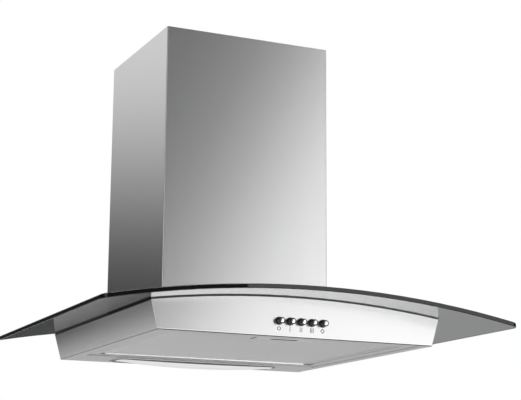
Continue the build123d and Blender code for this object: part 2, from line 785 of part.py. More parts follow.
def impeller():
    """Double-inlet wheel with forward-leaning blades."""
    rear = scroll_rear - scroll_wall - impeller_end_gap
    front = scroll_front + scroll_wall + impeller_end_gap
    root = impeller_radius - blade_depth
    wheel = rod_y(fan_centre_x, fan_centre_z, root + impeller_ring, fan_centre_y - impeller_disc / 2,
                  fan_centre_y + impeller_disc / 2)
    wheel += rod_y(fan_centre_x, fan_centre_z, hub_radius, fan_centre_y - hub_length / 2,
                   fan_centre_y + hub_length / 2)
    for end, inward in ((rear, -1), (front, 1)):
        ring = rod_y(fan_centre_x, fan_centre_z, impeller_radius, end, end + inward * impeller_ring)
        wheel += ring - rod_y(fan_centre_x, fan_centre_z, root, front - 1, rear + 1)
    blades = []
    for index in range(blade_count):
        turn = 360 * index / blade_count
        half_turn = math.degrees(blade_thickness / root)
        middle = (root + impeller_radius) / 2
        lead = ThreePointArc(polar(root, turn), polar(middle, turn + blade_sweep * 0.3),
                             polar(impeller_radius - 0.2, turn + blade_sweep))
        trail = ThreePointArc(polar(impeller_radius - 0.2, turn + blade_sweep + half_turn),
                              polar(middle, turn + blade_sweep * 0.3 + half_turn),
                              polar(root, turn + half_turn))
        outline = lead + Line(lead @ 1, trail @ 0) + trail + Line(trail @ 1, lead @ 0)
        blades.append(along_y(make_face(outline), rear - 0.5, front + 0.5))
    wheel += blades
    return wheel - rod_y(fan_centre_x, fan_centre_z, shaft_radius, front - 1, rear + 1)


motor_back = scroll_front - 2 * bracket_sheet
motor_front = fan_front + fan_box_sheet + motor_end_clearance


def motor_shaft():
    """Steel shaft that carries the wheel."""
    tip = fan_centre_y + hub_length / 2 + shaft_past_hub
    return rod_y(fan_centre_x, fan_centre_z, shaft_radius, motor_back - shaft_in_motor, tip)


def motor_housing():
    """Motor can with its bearing boss."""
    can = rod_y(fan_centre_x, fan_centre_z, motor_radius, motor_front, motor_back)
    can = fillet(can.edges().filter_by(GeomType.CIRCLE), motor_fillet)
    can += rod_y(fan_centre_x, fan_centre_z, motor_boss_radius, motor_back, motor_back + motor_boss_length)
    return can - rod_y(fan_centre_x, fan_centre_z, shaft_radius + shaft_clearance,
                       motor_back - shaft_in_motor - 2, motor_back + 10)


def motor_bracket():
    """Ring with arms that holds the motor in the front inlet."""
    ring_radius = inlet_radius + bracket_ring_width
    bracket = rod_y(fan_centre_x, fan_centre_z, ring_radius, scroll_front - bracket_sheet, scroll_front)
    bracket -= rod_y(fan_centre_x, fan_centre_z, inlet_radius, scroll_front - 5, scroll_front + 5)
    for index in range(bracket_arm_count):
        arm = block(motor_boss_radius + 3, ring_radius - 2, -2 * bracket_sheet, -bracket_sheet,
                    -bracket_arm_width / 2, bracket_arm_width / 2)
        turn = Rot(0, 90 + 360 * index / bracket_arm_count, 0)
        bracket += Pos(fan_centre_x, scroll_front, fan_centre_z) * turn * arm
    return bracket


capacitor_x = -(fan_half + clip_sheet + capacitor_radius)


def capacitor():
    """Run capacitor in its clip on the left of the fan box."""
    can = rod_z(capacitor_x, fan_centre_y, capacitor_radius, capacitor_centre_z - capacitor_length / 2,
                capacitor_centre_z + capacitor_length / 2)
    return fillet(can.edges().filter_by(GeomType.CIRCLE), capacitor_fillet)


def capacitor_clip():
    """Sheet band round the capacitor."""
    low, high = capacitor_centre_z - clip_width / 2, capacitor_centre_z + clip_width / 2
    band = rod_z(capacitor_x, fan_centre_y, capacitor_radius + clip_sheet, low, high)
    reach = capacitor_radius + clip_foot
    foot = block(-fan_half - clip_sheet, -fan_half, fan_centre_y - reach, fan_centre_y + reach, low, high)
    return band + foot - rod_z(capacitor_x, fan_centre_y, capacitor_radius, low - 1, high + 1)


# ================================================================ outlet
def outlet_collar():
    """Duct spigot with the ledge and the rib that the flaps rest on."""
    foot = lid_top + collar_flange_thickness
    lip_top = foot + collar_lip_height
    top = foot + spigot_height
    collar = block(-collar_half, collar_half, fan_centre_y - collar_half, fan_centre_y + collar_half,
                   lid_top, foot)
    collar = fillet(collar.edges().filter_by(Axis.Z), collar_flange / 2)
    collar += rod_z(0, fan_centre_y, duct_radius, foot, top)
    collar -= rod_z(0, fan_centre_y, duct_inner, lip_top, top + 1)
    collar -= rod_z(0, fan_centre_y, outlet_radius, lid_top - 1, lip_top + 1)
    collar += block(-collar_rib_half, collar_rib_half, fan_centre_y - outlet_radius - 1,
                    fan_centre_y + outlet_radius + 1, foot, lip_top)
    for side in (-1, 1):
        collar -= rod_y(side * flap_axis_offset, flap_axis_z, flap_pin_radius + flap_pin_clearance,
                        fan_centre_y - duct_radius - 1, fan_centre_y + duct_radius + 1)
    for x, y in collar_screw_places():
        collar -= rod_z(x, y, small_screw_radius + screw_hole_gap, lid_top - 1, foot + 1)
    return collar


def collar_screws():
    """Screws through collar, lid and the blower's flange."""
    seat = lid_top + collar_flange_thickness + paint_gap
    tip = lid_under - scroll_flange_height - collar_screw_reach
    return Compound([rod_z(x, y, small_head_radius, seat, seat + small_head_height)
                     + rod_z(x, y, small_screw_radius, tip, seat) for x, y in collar_screw_places()])


def outlet_flap(side):
    """Half-round non-return flap with its hinge pin; side is -1 left, 1 right."""
    rim = duct_inner - flap_rim_gap
    low = flap_axis_z - flap_knuckle_radius
    disc = rod_z(0, fan_centre_y, rim, low, low + flap_thickness)
    axis_x = side * flap_axis_offset
    flap = disc & block(axis_x, side * 2 * rim, fan_centre_y - rim, fan_centre_y + rim, low - 1, low + 3)
    knuckle = math.sqrt(rim ** 2 - (flap_axis_offset + flap_knuckle_radius) ** 2) - 0.3
    flap += rod_y(axis_x, flap_axis_z, flap_knuckle_radius, fan_centre_y - knuckle, fan_centre_y + knuckle)
    pin = duct_radius - 0.6
    return flap + rod_y(axis_x, flap_axis_z, flap_pin_radius, fan_centre_y - pin, fan_centre_y + pin)


# ================================================================ terminal box
terminal_left = fan_half
terminal_right = upper_half - sheet - terminal_chimney_gap
terminal_low = terminal_centre_z - terminal_height / 2
terminal_high = terminal_centre_z + terminal_height / 2
gland_x = (terminal_left + terminal_right) / 2


def terminal_box():
    """Moulded tray for the mains connection."""
    near, far = fan_centre_y - terminal_depth / 2, fan_centre_y + terminal_depth / 2
    edge = terminal_right - terminal_wall
    tray = block(terminal_left, edge, near, far, terminal_low, terminal_high)
    tray -= block(terminal_left + terminal_wall, edge + 1, near + terminal_wall, far - terminal_wall,
                  terminal_low + terminal_wall, terminal_high - terminal_wall)
    return tray - rod_z(gland_x, fan_centre_y, gland_thread_radius + slip_gap,
                        terminal_high - 5, terminal_high + 5)


def terminal_cover():
    """Lid of the terminal box."""
    near, far = fan_centre_y - terminal_depth / 2, fan_centre_y + terminal_depth / 2
    lid = block(terminal_right - terminal_wall, terminal_right, near, far, terminal_low, terminal_high)
    return fillet(lid.edges().filter_by(Axis.X), terminal_corner)


def terminal_strip():
    """Screw terminals for live, neutral and earth."""
    left = terminal_left + terminal_wall
    right = left + strip_width
    low = terminal_low + strip_rise
    strip = block(left, right, fan_centre_y - strip_length / 2, fan_centre_y + strip_length / 2,
                  low, low + strip_height)
    for index in range(3):
        y = fan_centre_y + (index - 1) * strip_hole_pitch
        strip -= rod_x(y, low + strip_height / 2, strip_hole_radius, right - strip_hole_depth, right + 1)
    return strip


def cable_gland():
    """Gland where the mains lead enters from above."""
    low = terminal_high - terminal_wall - gland_thread_length
    gland = rod_z(gland_x, fan_centre_y, gland_thread_radius, low, terminal_high)
    nut = extrude(RegularPolygon(gland_nut_across / math.sqrt(3), 6), amount=gland_nut_height)
    gland += Pos(gland_x, fan_centre_y, terminal_high) * nut
    dome = rod_z(gland_x, fan_centre_y, gland_radius, terminal_high, low + gland_length)
    gland += fillet(dome.edges().filter_by(GeomType.CIRCLE).sort_by(Axis.Z)[-1], gland_fillet)
    return gland - rod_z(gland_x, fan_centre_y, gland_bore_radius, low - 1, low + gland_length + 1)


# ================================================================ grease filter
def filter_frame():
    """Aluminium channel frame with the two rear tabs it hangs from."""
    outer = block(-filter_half, filter_half, filter_front, filter_rear, filter_low, filter_high)
    outer = fillet(outer.edges().filter_by(Axis.Z), filter_corner)
    wall = filter_sheet
    frame = outer - block(-filter_half + wall, filter_half - wall, filter_front + wall, filter_rear - wall,
                          filter_low + wall, filter_high - wall)
    frame -= block(-filter_half + filter_lip, filter_half - filter_lip, filter_front + filter_lip,
                   filter_rear - filter_lip, filter_low - 1, filter_high + 1)
    slot_half = latch_width / 2 + latch_clearance
    frame -= block(-slot_half, slot_half, filter_front - 1, filter_front + wall + 1,
                   latch_low - latch_clearance, latch_high + latch_clearance)
    tab_z = filter_low + tab_seat_gap
    for side in (-1, 1):
        x = side * tab_offset
        frame += block(x - tab_length / 2, x + tab_length / 2, filter_rear - wall / 2,
                       filter_rear + tab_reach, tab_z, tab_z + tab_thickness)
    return frame


mesh_low = filter_low + filter_sheet + mesh_gap
mesh_high = filter_high - filter_sheet - mesh_gap
mesh_front = filter_front + filter_sheet + mesh_gap
mesh_rear = filter_rear - filter_sheet - mesh_gap
mesh_half = filter_half - filter_sheet - mesh_gap
latch_low = filter_low + (filter_height - latch_thickness) / 2
latch_high = latch_low + latch_thickness
latch_y = -(opening_front - latch_setback)
pocket_front = filter_front + filter_lip + latch_clearance
pocket_rear = pocket_front + pocket_depth


def filter_mesh():
    """Corrugated mesh between two flat ones, cut out round the latch pocket."""
    low, high = mesh_low + mesh_skin / 2, mesh_high - mesh_skin / 2
    section = Pos(0, (mesh_low + mesh_high) / 2) * Rectangle(2 * mesh_half, mesh_high - mesh_low)
    count = round(2 * mesh_half / mesh_pitch)
    pitch = 2 * mesh_half / count
    for index in range(2 * count - 1):
        left = index * pitch / 2 - mesh_half
        base, tip = (low, high) if index % 2 == 0 else (high, low)
        cell = make_face(Polyline((left, base), (left + pitch, base), (left + pitch / 2, tip), close=True))
        section -= offset(cell, -mesh_skin / 2)
    pack = along_y(section, mesh_rear, mesh_front)
    room = pocket_width / 2 + mesh_gap
    return pack - block(-room, room, mesh_front - 1, pocket_rear + mesh_gap, mesh_low - 1, mesh_high + 1)


def latch_pocket():
    """Dish round the latch with its finger slot."""
    half = pocket_width / 2
    pocket = block(-half, half, mesh_front, pocket_rear, mesh_low, mesh_high)
    pocket -= block(-half + pocket_sheet, half - pocket_sheet, mesh_front - 1, pocket_rear - pocket_sheet,
                    mesh_low + pocket_sheet, mesh_high + 1)
    pocket += block(-half, half, pocket_front, pocket_rear, mesh_low - pocket_proud, mesh_low + pocket_sheet)
    slot_half = finger_width / 2 + latch_clearance
    near = latch_y - finger_thickness / 2 - latch_clearance
    far = latch_y + finger_thickness / 2 + latch_travel + latch_clearance
    return pocket - block(-slot_half, slot_half, near, far, mesh_low - 5, mesh_low + 2 * pocket_sheet)


def filter_latch():
    """Sliding bolt with the finger bar below it."""
    nose = -(opening_front + latch_nose)
    bolt = block(-latch_width / 2, latch_width / 2, nose, latch_y + latch_tail, latch_low, latch_high)
    finger = block(-finger_width / 2, finger_width / 2, latch_y - finger_thickness / 2,
                   latch_y + finger_thickness / 2, mesh_low - pocket_proud / 2, latch_high)
    return bolt + finger


# ================================================================ lamp
def lens_crown(inset):
    """Doubly bent lower surface of the lens as a solid that reaches up into the tray."""
    low = lens_rim_low - lens_bulge + inset
    half = lens_depth / 2 - lens_rim_step
    height = lens_bulge - lens_wall / 4
    radius = (half ** 2 + height ** 2) / (2 * height)
    long_half = lens_length / 2 - lens_rim_step
    long_radius = (long_half ** 2 + lens_end_rise ** 2) / (2 * lens_end_rise)
    top = lens_rim_high + 3 * overrun
    reach = half * 1.05
    rise = radius - math.sqrt(radius ** 2 - reach ** 2)
    near, far = lens_mid_y - reach, lens_mid_y + reach
    profile = ThreePointArc((near, low + rise), (lens_mid_y, low), (far, low + rise))
    profile += Polyline((far, low + rise), (far, top), (near, top), (near, low + rise))
    axis = Axis((0, 0, low + long_radius), (0, 1, 0))
    span = 2.4 * math.degrees(math.asin(long_half / long_radius))
    crown = revolve(Plane.YZ * make_face(profile), axis, span)
    return Pos(0, 0, low + long_radius) * Rot(0, -span / 2, 0) * Pos(0, 0, -low - long_radius) * crown


def lamp_lens():
    """Translucent cover with hinge pins at its rear corners."""
    step = lens_rim_step
    low = lens_rim_low - lens_bulge - 1
    rim = rounded_box(lens_length, lens_depth, lens_corner, lens_rim_low, lens_rim_high, 0, lens_mid_y)
    bowl = rounded_box(lens_length - 2 * step, lens_depth - 2 * step, lens_corner - step, low, lens_rim_high,
                       0, lens_mid_y) & lens_crown(0)
    inner = step + lens_wall
    hollow = rounded_box(lens_length - 2 * inner, lens_depth - 2 * inner, lens_corner - inner, low,
                         lens_rim_high + 1, 0, lens_mid_y) & lens_crown(lens_wall)
    lens = rim + bowl - hollow
    for side in (-1, 1):
        near = side * (lens_length / 2 - lens_corner + lens_ear_inset)
        far = near + side * lens_ear
        lens += block(near, far, lens_axis_y - lens_ear_half, lens_axis_y + lens_ear_half,
                      lens_rim_low + 0.5, lens_axis_height + lens_ear_cover)
        tip = side * (tray_half + lens_pin_reach)
        lens += rod_x(lens_axis_y, lens_axis_height, lens_pin_radius, near, tip)
    return lens


def lamp_tray():
    """Sheet tray over the lamps, open below, with the lens hinge holes."""
    tray = block(-tray_half, tray_half, tray_front, tray_rear, panel_low, tray_top)
    tray -= block(-tray_half + tray_sheet, tray_half - tray_sheet, tray_front + tray_sheet,
                  tray_rear - tray_sheet, 0, tray_top - tray_sheet)
    return tray - rod_x(lens_axis_y, lens_axis_height, lens_pin_radius + lens_pin_clearance,
                        -tray_half - 1, tray_half + 1)


def lamp_pair(piece):
    """The left and right copies of a lamp piece drawn for the right end."""
    return Compound([piece, mirror(piece, about=Plane.YZ)])


holder_outer = tray_half - tray_sheet
holder_inner = holder_outer - holder_length


def lamp_holders():
    """Two small screw lampholders on the ends of the tray."""
    holder = rod_x(lens_mid_y, lamp_z, holder_radius, holder_inner, holder_outer)
    holder -= rod_x(lens_mid_y, lamp_z, base_radius + slip_gap, holder_inner - 1, holder_inner + base_length)
    return lamp_pair(holder)


def lamp_bases():
    """Screw shells of the lamps."""
    start = holder_inner - slip_gap
    return lamp_pair(rod_x(lens_mid_y, lamp_z, base_radius, start, start + base_length))


def lamp_bulbs():
    """Two candle lamps lying end to end."""
    start = holder_inner - slip_gap
    body = [(start - along * bulb_length, across * bulb_radius)
            for along, across in (bulb_shoulder, bulb_belly, bulb_waist)]
    profile = Spline((start, bulb_neck_radius), *body, (start - bulb_length, 0.0))
    profile += Polyline((start - bulb_length, 0.0), (start, 0.0), (start, bulb_neck_radius))
    bulb = revolve(Plane.XZ * make_face(profile), Axis((0, 0, 0), (1, 0, 0)), 360)
    return lamp_pair(Pos(0, lens_mid_y, lamp_z) * bulb)


# ================================================================ controls
def push_button(place):
    """Chromed cap on its stem."""
    cap = plug(button_radius, -button_skirt, button_protrusion)
    cap = fillet(cap.edges().filter_by(GeomType.CIRCLE).sort_by(Axis.Z)[-1], button_edge)
    return place * (cap + plug(stem_radius, -button_skirt - stem_length, -button_skirt))


def button_bezels():
    """Five chromed rings set in the front panel."""
    bore = button_radius + bezel_bore_gap
    ring = plug(bezel_radius, paint_gap, bezel_height)
    ring = fillet(ring.edges().filter_by(GeomType.CIRCLE).sort_by(Axis.Z)[-1], bezel_height / 2)
    ring += plug(bezel_neck_radius, -bezel_neck_length, paint_gap)
    ring -= plug(bore, -bezel_neck_length - 1, bezel_height + 1)
    return Compound([place * ring for place in button_places()])


housing_front = -sheet - arc_gap
housing_back = housing_front - housing_depth
housing_half = 2 * button_pitch + housing_end


def housing_block(z0, z1):
    """Block behind the panel in the panel's own directions."""
    return Pos(0, 0, (z0 + z1) / 2) * Box(2 * housing_half, 2 * housing_half_height, z1 - z0)


def housing_screw_places():
    return [Pos(side * (housing_half - housing_screw_inset), 0, 0) for side in (-1, 1)]


def switch_housing():
    """Moulded housing with a guide for each button."""
    housing = housing_block(housing_back, housing_front)
    for index in range(5):
        guide = plug(bezel_neck_radius + screw_hole_gap, -button_skirt - button_travel - 1, housing_front + 1)
        guide += plug(stem_radius + slip_gap, housing_back - 1, housing_front)
        housing -= Pos((index - 2) * button_pitch, 0, 0) * guide
    for place in housing_screw_places():
        housing -= place * plug(small_screw_radius + slip_gap, housing_back - 1, housing_front + 1)
    return panel_place(0, button_height) * housing


def switch_board():
    """Circuit board across the back of the housing."""
    board = housing_block(housing_back - board_thickness, housing_back)
    for place in housing_screw_places():
        board -= place * plug(small_screw_radius + slip_gap, housing_back - 5, housing_back + 1)
    return panel_place(0, button_height) * board


def switch_screws():
    """Screws through board and housing to the panel's studs."""
    seat = housing_back - board_thickness - paint_gap
    screw = plug(small_head_radius, seat - small_head_height, seat)
    screw += plug(small_screw_radius, seat, housing_front + slip_gap)
    return Compound([panel_place(0, button_height) * place * screw for place in housing_screw_places()])


# ================================================================ write
button_names = ["button_off", "button_speed_1", "button_speed_2", "button_speed_3", "button_light"]

parts = {
    "canopy_shell": canopy_shell(),
    "underside_panel": underside_panel(),
    "top_deck": top_deck(),
    "rear_panel": rear_panel(),
    "glass_canopy": glass_canopy(),
    "glass_gasket": glass_gasket(),
    "glass_bushes": glass_bushes(),
    "glass_screws": glass_screws(),
    "glass_nuts": glass_nuts(),
    "lower_chimney": lower_chimney(),
    "upper_chimney": upper_chimney(),
    "upper_chimney_bracket": upper_chimney_bracket(),
    "chimney_screws": chimney_screws(),
    "fan_box": fan_box(),
    "fan_box_screws": fan_box_screws(),
    "fan_box_lid": fan_box_lid(),
    "wall_plate": wall_plate(),
    "scroll_rear": scroll_half(True),
    "scroll_front": scroll_half(False),
    "impeller": impeller(),
    "motor_shaft": motor_shaft(),
    "motor_housing": motor_housing(),
    "motor_bracket": motor_bracket(),
    "capacitor": capacitor(),
    "capacitor_clip": capacitor_clip(),
    "outlet_collar": outlet_collar(),
    "collar_screws": collar_screws(),
    "flap_left": outlet_flap(-1),
    "flap_right": outlet_flap(1),
    "terminal_box": terminal_box(),
    "terminal_cover": terminal_cover(),
    "terminal_strip": terminal_strip(),
    "cable_gland": cable_gland(),
    "filter_frame": filter_frame(),
    "filter_mesh": filter_mesh(),
    "latch_pocket": latch_pocket(),
    "filter_latch": filter_latch(),
    "lamp_tray": lamp_tray(),
    "lamp_holders": lamp_holders(),
    "lamp_bases": lamp_bases(),
    "lamp_bulbs": lamp_bulbs(),
    "lamp_lens": lamp_lens(),
    "switch_housing": switch_housing(),
    "switch_board": switch_board(),
    "switch_screws": switch_screws(),
    "button_bezels": button_bezels(),
}
for name, place in zip(button_names, button_places()):
    parts[name] = push_button(place)

to_wall_holes = Pos(0, 0, -wall_hole_z)
os.makedirs("parts", exist_ok=True)
for name, drawn in parts.items():
    piece = to_wall_holes * drawn
    export_step(piece, f"parts/{name}.step")
    print(name, len(piece.solids()), round(piece.volume))
print("travel of the upper chimney", round(upper_travel))
print("hinge line of the filter", filter_hinge_y, filter_low)
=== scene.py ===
import math

import bmesh
import bpy
from mathutils import Matrix, Vector


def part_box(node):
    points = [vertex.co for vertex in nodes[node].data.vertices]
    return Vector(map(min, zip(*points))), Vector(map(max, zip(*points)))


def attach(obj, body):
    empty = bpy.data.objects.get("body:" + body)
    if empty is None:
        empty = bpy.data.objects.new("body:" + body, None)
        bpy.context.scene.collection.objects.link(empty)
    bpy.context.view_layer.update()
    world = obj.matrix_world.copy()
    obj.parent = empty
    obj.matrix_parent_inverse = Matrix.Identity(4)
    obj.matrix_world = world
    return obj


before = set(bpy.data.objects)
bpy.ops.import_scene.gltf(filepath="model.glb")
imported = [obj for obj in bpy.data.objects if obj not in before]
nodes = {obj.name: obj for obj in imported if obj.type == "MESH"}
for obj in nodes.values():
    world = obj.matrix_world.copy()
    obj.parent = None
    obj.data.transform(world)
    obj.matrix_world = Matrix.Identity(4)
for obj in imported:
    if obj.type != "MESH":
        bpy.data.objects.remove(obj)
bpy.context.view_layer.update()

mm = 0.001
scene = bpy.context.scene


def linearColour(code, alpha=1.0):  # sRGB hex to the linear values that Blender mixes
    parts = [int(code[i:i + 2], 16) / 255 for i in (1, 3, 5)]
    return [c / 12.92 if c <= 0.04045 else ((c + 0.055) / 1.055) ** 2.4 for c in parts] + [alpha]


def addNode(tree, kind, settings, links=None):  # a key names one of the node's inputs or its own settings
    node = tree.nodes.new(kind)
    for key, value in settings.items():
        if isinstance(key, int) or key in node.inputs:
            node.inputs[key].default_value = value
        else:
            setattr(node, key, value)
    for key, source in (links or {}).items():
        tree.links.new(source, node.inputs[key])
    return node


def startMaterial(name, settings):  # one Principled shader with its fixed values on its own sockets
    material = bpy.data.materials.new(name)
    material.use_nodes = True
    tree = material.node_tree
    tree.nodes.clear()
    shader = addNode(tree, "ShaderNodeBsdfPrincipled", settings)
    addNode(tree, "ShaderNodeOutputMaterial", {}, {"Surface": shader.outputs["BSDF"]})
    material.diffuse_color = settings.get("Base Color", [0.5, 0.5, 0.5, 1])
    return material, tree, shader


def dress(material, *names):
    for name in names:
        mesh = nodes[name].data
        mesh.materials.clear()
        mesh.materials.append(material)


def fromBmesh(name, source, material, body):  # a new piece that moves with its body
    mesh = bpy.data.meshes.new(name)
    source.to_mesh(mesh)
    source.free()
    mesh.materials.append(material)
    piece = bpy.data.objects.new(name, mesh)
    scene.collection.objects.link(piece)
    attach(piece, body)
    return piece


# Camera: left of the hood and below it, looking up, as in the photograph
shot = {
    "place": (-0.84534, -2.15303, -0.41396),
    "turn": 24.391,    # degrees from straight ahead towards +X
    "rise": 12.256,
    "tilt": 0.481,
    "focal": 100.49,   # mm
    "sensor": 36.0,    # mm wide
    "farthest": 200.0,
}


def setCamera():
    turn, rise, tilt = (math.radians(shot[key]) for key in ("turn", "rise", "tilt"))
    forward = Vector((math.sin(turn) * math.cos(rise), math.cos(turn) * math.cos(rise), math.sin(rise)))
    level = Vector((math.cos(turn), -math.sin(turn), 0))
    upright = level.cross(forward)
    right = level * math.cos(tilt) + upright * math.sin(tilt)
    up = upright * math.cos(tilt) - level * math.sin(tilt)
    data = bpy.data.cameras.new("camera")
    data.sensor_width = shot["sensor"]
    data.lens = shot["focal"]
    data.clip_end = shot["farthest"]
    camera = bpy.data.objects.new("camera", data)
    facing = Matrix((right, up, -forward)).transposed().to_4x4()
    camera.matrix_world = Matrix.Translation(shot["place"]) @ facing
    scene.collection.objects.link(camera)
    scene.camera = camera


setCamera()
print("camera set")


# Studio: pale floor, white background, soft boxes at the front and overhead, one grey flag behind
studio = {
    "floorHeight": -2.8,       # metres, as the next
    "floorSize": 112.0,
    "floorColour": "#f1f1f0",
    "floorRough": 0.9,
    "flagColour": "#b6b6b7",
    "background": 1.0,
    "roomFront": 0.18,         # what metal sees behind the camera
    "roomBackLow": 0.06,       # what metal sees near the horizon behind the hood
    "fill": 0.62,              # even light from all round
    "lowEdge": 8.0,            # degrees up, where the bright back begins
    "highEdge": 19.0,          # and where it is full
    "turnsBack": (-0.3, 0.5),  # the Y of a direction, where the room's front blends into its back
}
softBoxes = {  # turn and rise in degrees, seen from the hood; distance and size in metres
    "boxFrontRight": {"turn": 37.5, "rise": 1.0, "roll": -26.0, "distance": 8.0, "size": (4.7, 6.1),
                      "glow": 1.53},
    "boxFrontLeft": {"turn": -37.5, "rise": 1.0, "roll": 26.0, "distance": 8.0, "size": (4.7, 6.1),
                     "glow": 1.1},
    "boxLowFront": {"turn": 30.0, "rise": -19.0, "roll": 0.0, "distance": 4.0, "size": (3.2, 1.1),
                    "glow": 0.65},
    "boxOverhead": {"turn": 0.0, "rise": 80.0, "roll": 0.0, "distance": 4.0, "size": (3.0, 3.0),
                    "glow": 1.6},
}
flags = {  # grey cards that give the polished sheet something darker to mirror
    "flagBackLeft": {"x": (-3.2, -0.8), "y": 4.0, "z": (-1.9, -0.62)},
}
aim = Vector((0.0, -0.25, 0.0))


def setStudio():
    world = bpy.data.worlds.new("studio")
    scene.world = world
    world.use_nodes = True
    tree = world.node_tree
    tree.nodes.clear()
    where = addNode(tree, "ShaderNodeTexCoord", {})
    split = addNode(tree, "ShaderNodeSeparateXYZ", {}, {0: where.outputs["Generated"]})
    behind = addNode(tree, "ShaderNodeMapRange",
                     {"interpolation_type": "SMOOTHSTEP", "From Min": studio["turnsBack"][0],
                      "From Max": studio["turnsBack"][1]},
                     {"Value": split.outputs["Y"]})
    high = addNode(tree, "ShaderNodeMapRange",
                   {"interpolation_type": "SMOOTHSTEP",
                    "From Min": math.sin(math.radians(studio["lowEdge"])),
                    "From Max": math.sin(math.radians(studio["highEdge"])),
                    "To Min": studio["roomBackLow"], "To Max": studio["background"]},
                   {"Value": split.outputs["Z"]})
    back = addNode(tree, "ShaderNodeMix", {2: studio["roomFront"]},
                   {0: behind.outputs["Result"], 3: high.outputs["Result"]})
    rays = addNode(tree, "ShaderNodeLightPath", {})
    lit = addNode(tree, "ShaderNodeMix", {2: studio["fill"]},
                  {0: rays.outputs["Is Glossy Ray"], 3: back.outputs[0]})
    seen = addNode(tree, "ShaderNodeMath", {"operation": "MAXIMUM"},
                   {0: rays.outputs["Is Camera Ray"], 1: rays.outputs["Is Transmission Ray"]})
    level = addNode(tree, "ShaderNodeMix", {3: studio["background"]}, {0: seen.outputs[0], 2: lit.outputs[0]})
    glow = addNode(tree, "ShaderNodeBackground", {"Color": (1, 1, 1, 1)}, {"Strength": level.outputs[0]})
    addNode(tree, "ShaderNodeOutputWorld", {}, {"Surface": glow.outputs[0]})
    # Painted floor: matt, so it only gives light back and takes the shadow
    paint, _, _ = startMaterial("mattPaintedFloor",
                                {"Base Color": linearColour(studio["floorColour"]),
                                 "Roughness": studio["floorRough"]})
    half = studio["floorSize"] / 2
    z = studio["floorHeight"]
    mesh = bpy.data.meshes.new("floor")
    corners = [(-half, -half, z), (half, -half, z), (half, half, z), (-half, half, z)]
    mesh.from_pydata(corners, [], [(0, 1, 2, 3)])
    mesh.materials.append(paint)
    floor = bpy.data.objects.new("floor", mesh)
    scene.collection.objects.link(floor)
    for name, box in softBoxes.items():
        turn, rise = math.radians(box["turn"]), math.radians(box["rise"])
        away = Vector((math.sin(turn) * math.cos(rise), -math.cos(turn) * math.cos(rise), math.sin(rise)))
        data = bpy.data.lights.new(name, "AREA")
        data.shape = "RECTANGLE"
        data.size, data.size_y = box["size"]
        data.energy = box["glow"] * math.pi * data.size * data.size_y  # so that a glow of 1 is seen as white
        lamp = bpy.data.objects.new(name, data)
        lamp.location = aim + away * box["distance"]
        towards = away.to_track_quat("Z", "Y").to_matrix().to_4x4()
        lamp.matrix_world = (Matrix.Translation(lamp.location) @ towards
                             @ Matrix.Rotation(math.radians(box["roll"]), 4, "Z"))
        lamp.visible_camera = False
        scene.collection.objects.link(lamp)
    # Felt: matt grey, so it is a soft dim shape in the steel
    felt, _, _ = startMaterial("greyFeltFlag",
                               {"Base Color": linearColour(studio["flagColour"]), "Roughness": 1.0})
    for name, card in flags.items():
        (x0, x1), y, (z0, z1) = card["x"], card["y"], card["z"]
        mesh = bpy.data.meshes.new(name)
        mesh.from_pydata([(x0, y, z0), (x1, y, z0), (x1, y, z1), (x0, y, z1)], [], [(0, 1, 2, 3)])
        mesh.materials.append(felt)
        flag = bpy.data.objects.new(name, mesh)
        flag.visible_camera = False
        scene.collection.objects.link(flag)


setStudio()
scene.view_settings.view_transform = "Standard"
print("studio set")


# Brushed stainless sheet: rolled and belt-ground, so it shows fine straight lines and a soft stretched shine
stainless = {
    "colour": "#c9c9ca",
    "roughness": (0.19, 0.23),
    "lineWidth": 0.35 * mm,    # real lines are near 0.05 mm; drawn wider so that they show
    "lineLength": 60 * mm,
    "lineDepth": 0.004 * mm,
    "shine": 0.2,              # how far the highlight stretches across the lines
    "polishFrom": 0.3,         # part of the noise that is spread over the roughness
    "polishTo": 0.7,
    "fold": "#5a5a5b",         # outer skin of a bend: painted shade, so it reads as a dark line
    "foldLean": 0.66,          # the Z of its normal in the middle of a bend
    "foldReach": 0.26,         # and how far the bend goes to either side of that
    "lip": "#fbfbfb",          # rear wall of the filter's well: painted highlight, a bright band
    # painted shade: the rest of that wall is darker
    "lipFootShade": "#8a8a8b",
    "lipDepth": 14 * mm,       # this far ahead of the filter's rear edge
    "lipInset": 10 * mm,       # bright only this far inside the filter's sides
    "lipBelow": 1.3 * mm,      # and down to this far below its frame
    "facing": 0.7,             # X or Y of its normal, from where a wall counts as a side or front wall
    "sideReflectionTop": "#868687",      # painted reflection: the side walls go from dim at the top to bright at the foot
    "sideReflectionFoot": "#fafafa",     # to bright at the foot
}


